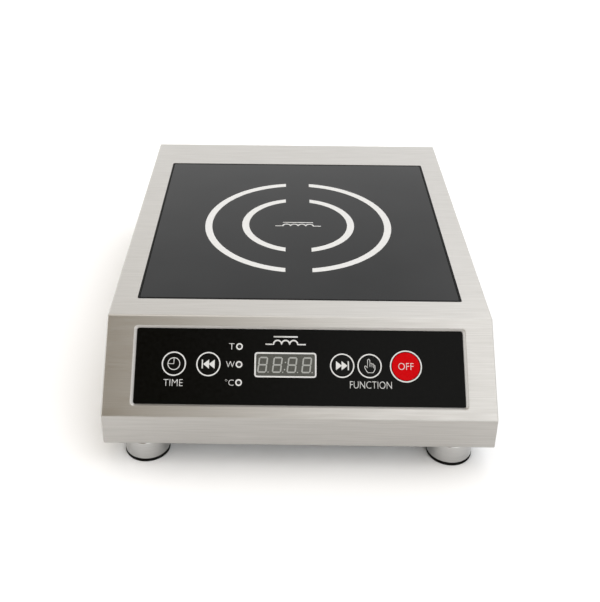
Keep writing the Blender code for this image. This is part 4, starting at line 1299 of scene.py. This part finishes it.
@dataclass
class Display:
    """The four-digit display in its printed frame."""

    flatter: float = 31 * MM  # its height is this much less than its width
    frame_stroke: float = 1.3 * MM
    corner: float = 1.2 * MM
    digit: Point = (7.9 * MM, 13.4 * MM)
    segment: float = 1.25 * MM
    mitre: float = 0.45  # cut from a segment's corners, of its width
    clear: float = 0.12 * MM
    slant: float = math.radians(7)
    pitch: float = 12.3 * MM
    set_left: float = 0.6 * MM  # of the figures, for the last one's point
    point: Point = (0.55 * MM, 1.4 * MM)  # its radius and its distance from the figure
    colon: float = 0.6 * MM
    colon_middle: Point = (-0.2 * MM, -0.15)  # its place, and its drop as a part of a segment
    dot_steps: int = 16

    @property
    def size(self) -> Point:
        """The face's width and height."""
        width = across("display_module")[1]
        return width, width - self.flatter

    def grown(self, margin: float) -> Point:
        """The face's width and height with a margin all round."""
        return tuple(length + 2 * margin for length in self.size)

    def build(self, slope: Slope) -> None:
        """Makes the face and prints its frame and its figures.

        Args:
            slope: what it is let into.
        """
        place = slope.printed(across("display_module")[0], slope.key_row)
        face = plate("display_window", self.size, -slope.board, 0, self.corner)
        settle(face, place)
        smooth(face, 40)
        DRESSER.finish(face, DISPLAY, "display_grey", stands_for=("display_module",))
        outer = self.grown(self.frame_stroke + OPENING_PLAY)
        corner = self.corner + self.frame_stroke
        border = drawn_frame("display_frame", outer, corner, self.frame_stroke)
        DRESSER.print_on(thickened(border), place)
        DRESSER.print_on(self.digits(), place, finish=DIGITS)

    def digits(self) -> bpy.types.Object:
        """Four figures of seven segments each, their points and the colon.

        Returns:
            All of them as one mark.
        """
        width, height = self.digit
        aside = (width - self.segment) / 2
        length = (height - self.segment) / 2
        flat = (2 * aside - 2 * self.clear, self.segment)
        stood = (self.segment, length - 2 * self.clear)
        mitre = self.segment * self.mitre
        dot, away = self.point
        marks = []
        for figure in range(4):
            x = (figure - 1.5) * self.pitch - self.set_left
            for up in (-1, 0, 1):
                marks.append(drawn_bar("segment", flat, (x, up * length), mitre))
            for side in (-1, 1):
                for up in (-0.5, 0.5):
                    middle = (x + side * aside, up * length)
                    marks.append(drawn_bar("segment", stood, middle, mitre))
            middle = (x + width / 2 + away, -length)
            marks.append(drawn_spot("point", self.dot_steps, dot, middle))
        x, drop = self.colon_middle
        for up in (-0.5, 0.5):
            middle = (x, (up + drop) * length)
            marks.append(drawn_spot("colon", self.dot_steps, self.colon, middle))
        digits = joined("display_digits", marks)
        lean = Matrix.Identity(4)
        lean[0][1] = math.tan(self.slant)
        digits.data.transform(lean)
        return thickened(digits)


@dataclass
class Keys:
    """The five keys with their rings, symbols and words."""

    ring: float = 1.05 * MM
    ring_reach: float = 1.6 * MM
    edge: float = 0.35 * MM
    line: float = 0.62 * MM
    hand_lines: Point = (0.9, 0.8)  # of the line: the hand's outline and its folds
    depths: Triple = (1.8 * MM, 2.6 * MM, 6.7 * MM)  # of the shoulder, the flange and the stem
    stem: float = 2.5 * MM
    dial: float = 5.3 * MM
    clock_hand: float = 4.9 * MM
    arrow: float = 3.3 * MM
    arrow_shape: Triple = (1.01, 1.36, 1.0)
    arrow_places: Point = (-1.1 * MM, 3.6 * MM)
    stop: Point = (1.0 * MM, 7.4 * MM)
    stop_place: Point = (-5.1 * MM, 0.0)
    fold: float = 2.6  # of the three folded fingers, in millimetres
    off_size: Point = (12.8 * MM, 5.8 * MM)

    def build(self, slope: Slope) -> None:
        """Makes each key and prints on it and round it.

        Args:
            slope: what the keys are let into.
        """
        signs = {
            "key_time": self.clock,
            "key_down": self.arrows,
            "key_up": self.forward_arrows,
            "key_function": self.hand,
            "key_off": self.off_word,
        }
        for name, sign in signs.items():
            x, width = across(name)
            place = slope.printed(x, slope.key_row)
            cap = width / 2 - KEY_FLANGE
            button = turned(f"{name}_cap", self.profile(cap))
            settle(button, place)
            smooth(button, 50)
            finish, slot = (KEY_RED, "key_red") if name == "key_off" else (KEY_CAP, "key_black")
            DRESSER.finish(button, finish, slot, name, (name,))
            ring = drawn_ring(f"{name}_ring", cap + self.ring_reach, self.ring)
            DRESSER.print_on(thickened(ring), place)
            DRESSER.print_on(sign(f"{name}_sign"), place, name)

    def profile(self, cap: float) -> list[Point]:
        """A key's outline, from its face to its stem.

        Args:
            cap: the radius of its face.

        Returns:
            (radius, height) of each ring.
        """
        shoulder, under, end = self.depths
        return [
            (cap - self.edge, 0),
            (cap - self.edge * 0.3, -self.edge * 0.3),
            (cap, -self.edge),
            (cap, -shoulder),
            (cap + KEY_FLANGE, -shoulder),
            (cap + KEY_FLANGE, -under),
            (self.stem, -under),
            (self.stem, -end),
        ]

    def clock(self, name: str) -> bpy.types.Object:
        """A clock face with its hands at nine o'clock.

        Args:
            name: the mark's name.

        Returns:
            The mark.
        """
        dial = thickened(drawn_ring(f"{name}_dial", self.dial, self.line))
        hands = [(0, self.clock_hand), (0, 0), (-self.clock_hand, 0)]
        return joined(name, [dial, line_mark(f"{name}_hands", hands, self.line)])

    def arrows(self, name: str) -> bpy.types.Object:
        """Two filled triangles run up against a bar on the left.

        Args:
            name: the mark's name.

        Returns:
            The mark.
        """
        marks = []
        for x in self.arrow_places:
            head = drawn_spot("head", 3, self.arrow, turn=math.radians(90))
            head.scale = self.arrow_shape
            settle(head)
            settle(head, Matrix.Translation((x, 0, 0)))
            marks.append(head)
        marks.append(drawn_bar("stop", self.stop, self.stop_place))
        return thickened(joined(name, marks))

    def forward_arrows(self, name: str) -> bpy.types.Object:
        """The same arrows turned to the right.

        Args:
            name: the mark's name.

        Returns:
            The mark.
        """
        sign = self.arrows(name)
        settle(sign, Matrix.Rotation(math.pi, 4, "Z"))
        return sign

    def hand(self, name: str) -> bpy.types.Object:
        """A hand with one finger up.

        Args:
            name: the mark's name.

        Returns:
            The mark.
        """
        knuckles = [(0.3, 1.9), (2.0, 1.6), (3.5, 0.8)]
        outline = [
            (-1.7, 4.6), (-1.1, 5.6), (-0.3, 5.6), (0.3, 4.6), knuckles[0], (0.9, 2.5), (1.6, 2.3),
            knuckles[1], (2.7, 1.9), (3.3, 1.2), knuckles[2], (4.1, 0.9), (4.5, 0.1), (4.5, -2.6),
            (3.6, -4.6), (2.7, -5.6), (-1.3, -5.6), (-2.4, -4.6), (-4.1, -1.6), (-4.2, -0.4),
            (-3.4, 0.1), (-2.5, -0.6), (-1.7, -1.6),
        ]
        points = [(x * MM, y * MM) for x, y in outline]
        outside, inside = (self.line * share for share in self.hand_lines)
        marks = [line_mark(f"{name}_outline", points, outside, closed=True)]
        for x, top in knuckles:
            fold = [(x * MM, top * MM), (x * MM, (top - self.fold) * MM)]
            marks.append(line_mark(f"{name}_fold", fold, inside))
        return joined(name, marks)

    def off_word(self, name: str) -> bpy.types.Object:
        """The word on the red key."""
        return lettering(name, "OFF", self.off_size)


@dataclass
class Panel:
    """The black panel with its openings, words and lamps."""

    slope: Slope
    display: Display
    corner: float = 2 * MM
    lamp_hole: float = 1.5 * MM
    lamp_foot: float = 2.0 * MM
    lens_depths: Triple = (0.12 * MM, 0.4 * MM, 1.8 * MM)  # of its dome, its rim and its shoulder
    lamp_ring: float = 2.85 * MM
    lamp_stroke: float = 1.15 * MM
    lamp_pitch: float = 15.1 * MM
    lamps: tuple[tuple[str, str, float, float], ...] = (  # with the letter, its width and place
        ("led_timer", "T", 4.6 * MM, -57.2 * MM),
        ("led_power", "W", 7.2 * MM, -58.0 * MM),
        ("led_temperature", "°C", 7.4 * MM, -58.4 * MM),
    )
    letter_height: float = 5.2 * MM
    word_drop: float = 14.07 * MM  # of the words below the panel's middle
    symbol_rise: float = 22.43 * MM  # of the symbol above the panel's middle
    symbol_width: float = 34 * MM
    symbol_line: float = 1.3 * MM

    def build(self) -> None:
        """Makes the panel and all that is on it."""
        size = self.slope.panel_size
        sheet = plate("panel_overlay", size, -self.slope.panel, 0, self.corner)
        cut(sheet, self.openings())
        settle(sheet, self.slope.printed(0, 0))
        smooth(sheet, 40)
        DRESSER.finish(sheet, OVERLAY, "panel_black", stands_for=("control_panel",))
        self.print_words()
        for index in range(len(self.lamps)):
            self.place_lamp(index)

    def openings(self) -> bpy.types.Object:
        """What is cut from the panel for the keys, the display and the lamps.

        Returns:
            The cutting shape, about the panel's middle.
        """
        low, high = -2 * self.slope.panel, self.slope.panel
        row = self.slope.key_row
        tools = []
        for name in (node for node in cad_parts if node.startswith("key_")):
            x, width = across(name)
            radius = width / 2 - KEY_FLANGE + OPENING_PLAY
            tools.append(turned("key_tool", [(radius, low), (radius, high)]))
            settle(tools[-1], Matrix.Translation((x, row, 0)))
        size = self.display.grown(OPENING_PLAY)
        tools.append(plate("display_tool", size, low, high, self.display.corner))
        settle(tools[-1], Matrix.Translation((across("display_module")[0], row, 0)))
        for index, (name, *_) in enumerate(self.lamps):
            hole = [(self.lamp_hole, low), (self.lamp_hole, high)]
            tools.append(turned("lamp_tool", hole, SMALL_STEPS))
            settle(tools[-1], Matrix.Translation((across(name)[0], self.lamp_up(index), 0)))
        return joined("panel_tools", tools)

    def lamp_up(self, index: int) -> float:
        """How far up the slope a lamp lies."""
        return self.slope.key_row + (1 - index) * self.lamp_pitch

    def place_lamp(self, index: int) -> None:
        """Makes a lamp, its ring and its letter.

        Args:
            index: which lamp, from the top.
        """
        name, word, width, x = self.lamps[index]
        place = self.slope.printed(across(name)[0], self.lamp_up(index))
        lens = self.lamp_hole - OPENING_PLAY
        dome, rim, shoulder = self.lens_depths
        profile = [
            (lens * 0.3, 0),
            (lens * 0.7, -dome),
            (lens, -rim),
            (lens, -shoulder),
            (self.lamp_foot, -shoulder),
            (self.lamp_foot, -self.slope.board),
        ]
        lamp = turned(f"{name}_lens", profile, SMALL_STEPS)
        settle(lamp, place)
        smooth(lamp, 50)
        DRESSER.finish(lamp, LAMP, "lamp_clear", stands_for=(name,))
        ring = drawn_ring(f"{name}_ring", self.lamp_ring, self.lamp_stroke, SMALL_STEPS)
        DRESSER.print_on(thickened(ring), place)
        letter = lettering(f"{name}_letter", word, (width, self.letter_height))
        DRESSER.print_on(letter, self.slope.printed(x, self.lamp_up(index)))

    def print_words(self) -> None:
        """Prints the words under the keys and the symbol over the display."""
        words = (
            ("word_time", "TIME", (16.2 * MM, 5.6 * MM), "key_time", 0.0),
            ("word_function", "FUNCTION", (34.8 * MM, 6.0 * MM), "key_function", 0.8 * MM),
        )
        for name, text, size, key, aside in words:
            place = self.slope.printed(across(key)[0] + aside, -self.word_drop)
            DRESSER.print_on(lettering(name, text, size), place)
        symbol = coil_symbol("panel_symbol", self.symbol_width, self.symbol_line, 3)
        place = self.slope.printed(across("display_module")[0], self.symbol_rise)
        DRESSER.print_on(symbol, place)


@dataclass
class Feet:
    """Four levelling feet: a steel cup on a rubber pad."""

    top: float = 20.2 * MM
    edge: float = 1.0 * MM
    wall: float = 1.5 * MM
    roof: float = 3 * MM
    stud: float = 4 * MM
    pad_shown: float = 2.6 * MM
    pad_proud: float = 0.2 * MM
    pad_edges: Point = (0.15 * MM, 0.3 * MM)  # at the pad's top and at its foot
    tread: Point = (5 * MM, 5.6 * MM)  # width of the pad's tread, without and with its inner edge
    tread_rise: float = 0.5 * MM

    def build(self) -> None:
        """Makes one foot and sets it out at each corner."""
        low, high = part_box(f"foot_cup_{CORNERS[0]}")
        radius = (high.x - low.x) / 2
        cup, pad = self.cup(radius, low.z, high.z), self.pad(radius)
        for shape in (cup, pad):
            smooth(shape, 50)
        steel = (cup, "foot_cup", SATIN_STEEL, "foot_steel")
        DRESSER.set_out([steel, (pad, "foot_pad", RUBBER, "foot_rubber")])

    def cup(self, radius: float, low: float, high: float) -> bpy.types.Object:
        """Turns a cup with its stud.

        Args:
            radius: the cup's radius.
            low: height of its rim.
            high: height of the stud's end.

        Returns:
            The cup, about the origin.
        """
        hollow = radius - self.wall
        profile = [
            (self.stud - self.edge, high),
            (self.stud, high - self.edge),
            (self.stud, self.top),
            (radius - self.edge, self.top),
            (radius - self.edge * 0.3, self.top - self.edge * 0.3),
            (radius, self.top - self.edge),
            (radius, low + self.edge * 0.3),
            (radius - self.edge * 0.3, low),
            (hollow, low),
            (hollow, self.top - self.roof),
        ]
        return turned("foot_cup", profile)

    def pad(self, radius: float) -> bpy.types.Object:
        """Turns a pad that fills a cup and shows under it.

        Args:
            radius: the cup's radius.

        Returns:
            The pad, about the origin.
        """
        inner = radius - self.wall - OPENING_PLAY
        outer = radius + self.pad_proud
        upper, lower = self.pad_edges
        tread, hollow = self.tread
        profile = [
            (inner, self.top - self.roof - OPENING_PLAY),
            (inner, self.pad_shown),
            (outer - upper, self.pad_shown),
            (outer, self.pad_shown - upper),
            (outer, lower),
            (outer - lower, 0),
            (outer - tread, 0),
            (outer - hollow, self.tread_rise),
        ]
        return turned("foot_pad", profile)


@dataclass
class Underside:
    """The pan-head screws that hold the base plate."""

    shank: float = 2 * MM
    shank_end: float = 0.6 * MM
    head: float = 2.4 * MM
    recess: float = 1.2 * MM
    cross: Point = (2.2 * MM, 0.4 * MM)  # half the length and half the width of each arm
    taper: float = 0.7

    def build(self) -> None:
        """Makes one screw and sets it out at each hole."""
        low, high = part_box(f"base_screw_{CORNERS[0]}")
        screw = self.screw((high.x - low.x) / 2, low.z, high.z)
        DRESSER.set_out([(screw, "base_screw", SCREW_STEEL, "screw_steel")], moves=False)

    def screw(self, radius: float, low: float, high: float) -> bpy.types.Object:
        """Turns a screw and cuts the cross in its head.

        Args:
            radius: the head's radius.
            low: height of the head's face.
            high: height of the shank's end.

        Returns:
            The screw, about the origin.
        """
        rises = ((1.0, 1.4 * MM), (0.93, 0.7 * MM), (0.75, 0.2 * MM), (0.45, 0.0))  # of the dome
        profile = [
            (self.shank * 0.7, high),
            (self.shank, high - self.shank_end),
            (self.shank, low + self.head),
            (radius, low + self.head),
            *((radius * share, low + rise) for share, rise in rises),
        ]
        screw = turned("base_screw", profile, SMALL_STEPS)
        for arm_size in (self.cross, self.cross[::-1]):
            reach = Vector((*arm_size, self.recess))
            middle = Vector((0, 0, low))
            arm = block("cross", middle - reach, middle + reach)
            with editing(arm):
                pick(arm, Part.FACE, lambda face: face.normal.z > 0.9)
                taper = (self.taper, self.taper, 1)
                bpy.ops.transform.resize(value=taper, center_override=middle)
            cut(screw, arm)
        smooth(screw, 40)
        return screw


@dataclass
class CableGland:
    """The gland in the rear wall: a hexagon body and a ribbed cap."""

    edge: float = 0.8 * MM
    ribs: int = 12
    rib_depth: float = 0.5 * MM
    rib_edge: float = 0.25 * MM
    rib_reach: float = 0.2 * MM  # a rib's face lies no further inside the cap's radius
    rib_area: float = 5 * MM * MM  # and is no smaller than this
    bore: float = 6 * MM
    bore_edge: float = 0.6 * MM
    lip: float = 4 * MM
    neck: float = 8.5 * MM
    thread: float = 10 * MM
    hexagon: float = 6 * MM

    def build(self) -> None:
        """Makes the body and the cap."""
        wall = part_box("housing")[1].y
        cap_low, cap_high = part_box("gland_cap")
        middle = (cap_low + cap_high) / 2
        place = Matrix.Translation((middle.x, wall, middle.z))
        place = place @ Matrix.Rotation(math.radians(-90), 4, "X")
        self.make_body(place, wall)
        self.make_cap(place, (cap_high.x - cap_low.x) / 2, cap_low.y - wall, cap_high.y - wall)

    def make_body(self, place: Matrix, wall: float) -> None:
        """A hexagon with broken corners, with the thread and the neck on either side.

        Args:
            place: the gland's middle on the rear wall, with Z out of it.
            wall: how far back the rear wall is.
        """
        low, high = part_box("gland_body")
        inside, outside, half = low.y - wall, high.y - wall, self.hexagon / 2
        radius = (high.z - low.z) / math.sqrt(3)
        ends = [(radius, OPENING_PLAY), (radius, self.hexagon + OPENING_PLAY)]
        body = turned("gland_hexagon", ends, 6)
        if high.x - low.x < high.z - low.z:
            settle(body, Matrix.Rotation(math.radians(90), 4, "Z"))
        with editing(body):
            pick(body, Part.EDGE, level)
            bpy.ops.mesh.bevel(offset=self.edge, segments=3, affect="EDGES")
        profile = [
            (self.bore, outside),
            (self.neck, outside),
            (self.neck, half),
            (self.thread, half),
            (self.thread, inside),
            (self.bore, inside),
        ]
        barrel = turned("gland_barrel", profile, hollow=True)
        cut(body, turned("gland_bore", [(self.bore, inside), (self.bore, outside)]))
        cut(body, barrel, "UNION")
        settle(body, place)
        smooth(body, 35)
        DRESSER.finish(body, MOULDED, "black_plastic", stands_for=("gland_body",))

    def make_cap(self, place: Matrix, radius: float, front: float, rear: float) -> None:
        """A domed cap with ribs to grip.

        Args:
            place: the gland's middle on the rear wall, with Z out of it.
            radius: the cap's radius.
            front: from the rear wall to the cap's near end.
            rear: from the rear wall to its far end.
        """
        inner = self.neck + OPENING_PLAY
        dome = ((0.0, 5.0), (0.5, 3.4), (1.6, 1.4), (3.0, 0.3), (4.2, 0.0))  # in and back, in mm
        profile = [
            (inner, front),
            (radius - self.rib_depth, front),
            (radius, front + self.rib_depth),
            *((radius - inward * MM, rear - back * MM) for inward, back in dome),
            (self.bore + self.bore_edge, rear),
            (self.bore, rear - self.bore_edge),
            (self.bore, rear - self.lip),
            (inner, rear - self.lip),
        ]
        cap = turned("gland_nut", profile, 4 * self.ribs, hollow=True)

        def between_ribs(face: bmesh.types.BMFace) -> bool:
            """Finds the faces to press in.

            Args:
                face: a face of the cap.

            Returns:
                Whether it lies in a groove between two ribs.
            """
            middle = face.calc_center_median()
            if middle.xy.length < radius - self.rib_reach or face.calc_area() < self.rib_area:
                return False
            turn = math.degrees(math.atan2(middle.y, middle.x)) % (360 / self.ribs)
            return turn < 180 / self.ribs

        with editing(cap):
            pick(cap, Part.FACE, between_ribs)
            groove = {"thickness": self.rib_edge, "depth": -self.rib_depth}
            bpy.ops.mesh.inset(**groove, use_individual=False)
        settle(cap, place)
        smooth(cap, 30)
        DRESSER.finish(cap, MOULDED, "black_plastic", stands_for=("gland_cap",))


# ---------------------------------------------------------------- studio


@dataclass
class Studio:
    """The floor, the light and the camera."""

    lens: float = 54.66
    sensor: float = 36.0
    eye: Triple = (-14.4 * MM, -808.5 * MM, 549.2 * MM)
    yaw: float = math.radians(0.63)
    pitch: float = math.radians(27.93)
    roll: float = math.radians(-0.32)
    shift: Point = (0.0415, -0.1412)
    floor_side: float = 80.0
    floor_colour: Triple = (0.895, 0.895, 0.90)
    around: Point = (-0.5, 0.3)  # from left to right, where the low light changes
    around_colours: tuple[Triple, Triple] = ((1.0, 0.995, 0.985), (0.84, 0.84, 0.84))
    above: Point = (-0.14, 0.12)  # and where the light from above and in front does
    above_colours: tuple[Triple, Triple] = ((0.11, 0.065, 0.0), (1.26, 1.265, 1.27))
    overhead: Point = (0.57, 0.76)
    in_front: Point = (-0.35, -0.70)
    dome_strength: float = 1.66
    glow_from: Triple = (0.30, 0.76, 0.585)
    glow_reach: float = math.radians(12)
    glow_strength: float = 2.5
    box_place: Triple = (-0.9, 0.3, 2.4)
    box_side: float = 1.6
    box_power: float = 12.0

    def build(self) -> None:
        """Sets up everything round the hob."""
        self.lay_floor()
        self.light_dome()
        self.hang_soft_box()
        self.set_camera()
        bpy.context.scene.view_settings.view_transform = "Standard"

    def lay_floor(self) -> None:
        """A plain pale floor."""
        deselect()
        bpy.ops.mesh.primitive_plane_add(size=self.floor_side)
        floor = named(bpy.context.object, "studio_floor")
        surface = Surface("studio_floor")
        inputs = {"Base Color": (*self.floor_colour, 1), "Roughness": 0.8}
        surface.feed(surface.shader, {**inputs, "Specular IOR Level": 0.1})
        floor.data.materials.append(surface.material)

    def light_dome(self) -> None:
        """Soft light all round, dark overhead on the left, with a glow behind on the right."""
        world = bpy.data.worlds.new("studio")
        bpy.context.scene.world = world
        world.use_nodes = True
        world.node_tree.nodes.clear()
        nodes = Nodes(world.node_tree)
        way = nodes.add("ShaderNodeTexCoord", {}).outputs["Generated"]
        parts = nodes.add("ShaderNodeSeparateXYZ", {"Vector": way}).outputs
        low, high = (
            nodes.colours(nodes.spread(parts["X"], span, change=Change.EASED), *colours)
            for span, colours in (
                (self.around, self.around_colours),
                (self.above, self.above_colours),
            )
        )
        overhead = nodes.spread(parts["Z"], self.overhead, change=Change.EASED)
        in_front = nodes.spread(parts["Y"], self.in_front, change=Change.EASED)
        inputs = {0: overhead, 1: in_front}
        share = nodes.add("ShaderNodeMath", inputs, operation="MAXIMUM").outputs[0]
        inputs = {0: share, 6: low, 7: high}
        colour = nodes.add("ShaderNodeMix", inputs, data_type="RGBA").outputs[2]
        inputs = {0: way, 1: Vector(self.glow_from).normalized()}
        toward = nodes.add("ShaderNodeVectorMath", inputs, operation="DOT_PRODUCT")
        reach = (math.cos(self.glow_reach), 1.0)
        strengths = (self.dome_strength, self.glow_strength)
        strength = nodes.spread(toward.outputs["Value"], reach, strengths, Change.EASED)
        sky = nodes.add("ShaderNodeBackground", {"Strength": strength, "Color": colour})
        nodes.add("ShaderNodeOutputWorld", {"Surface": sky.outputs["Background"]})

    def hang_soft_box(self) -> None:
        """A large soft box overhead on the left."""
        deselect()
        bpy.ops.object.light_add(type="AREA", location=self.box_place)
        lamp = named(bpy.context.object, "soft_box")
        lamp.data.size = self.box_side
        lamp.data.energy = self.box_power
        lamp.rotation_mode = "QUATERNION"
        lamp.rotation_quaternion = (-Vector(self.box_place)).to_track_quat("-Z", "Y")

    def set_camera(self) -> None:
        """The camera, standing in front and looking down at the hob."""
        deselect()
        bpy.ops.object.camera_add(location=self.eye)
        camera = named(bpy.context.object, "camera")
        camera.data.lens = self.lens
        camera.data.sensor_width = self.sensor
        camera.data.shift_x, camera.data.shift_y = self.shift
        right = Vector((math.cos(self.yaw), math.sin(self.yaw), 0))
        level_ahead = Vector((-math.sin(self.yaw), math.cos(self.yaw), 0))
        ahead = level_ahead * math.cos(self.pitch) - Vector((0, 0, math.sin(self.pitch)))
        down = ahead.cross(right)
        sideways = right * math.cos(self.roll) + down * math.sin(self.roll)
        over = right * math.sin(self.roll) - down * math.cos(self.roll)
        camera.rotation_mode = "QUATERNION"
        turn = Matrix((sideways, over, -ahead)).transposed()
        camera.rotation_quaternion = turn.to_quaternion()
        bpy.context.scene.camera = camera


def main() -> None:
    """Builds the hob's finished look, piece by piece."""
    logging.basicConfig(level=logging.INFO, format="%(name)s: %(message)s")
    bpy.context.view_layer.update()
    Studio().build()
    dress_frame()
    slope, display = Slope(), Display()
    Housing(slope).build()
    Glass().build()
    Panel(slope, display).build()
    display.build(slope)
    Keys().build(slope)
    Feet().build()
    Underside().build()
    CableGland().build()
    deselect()


if __name__ == "__main__":
    main()
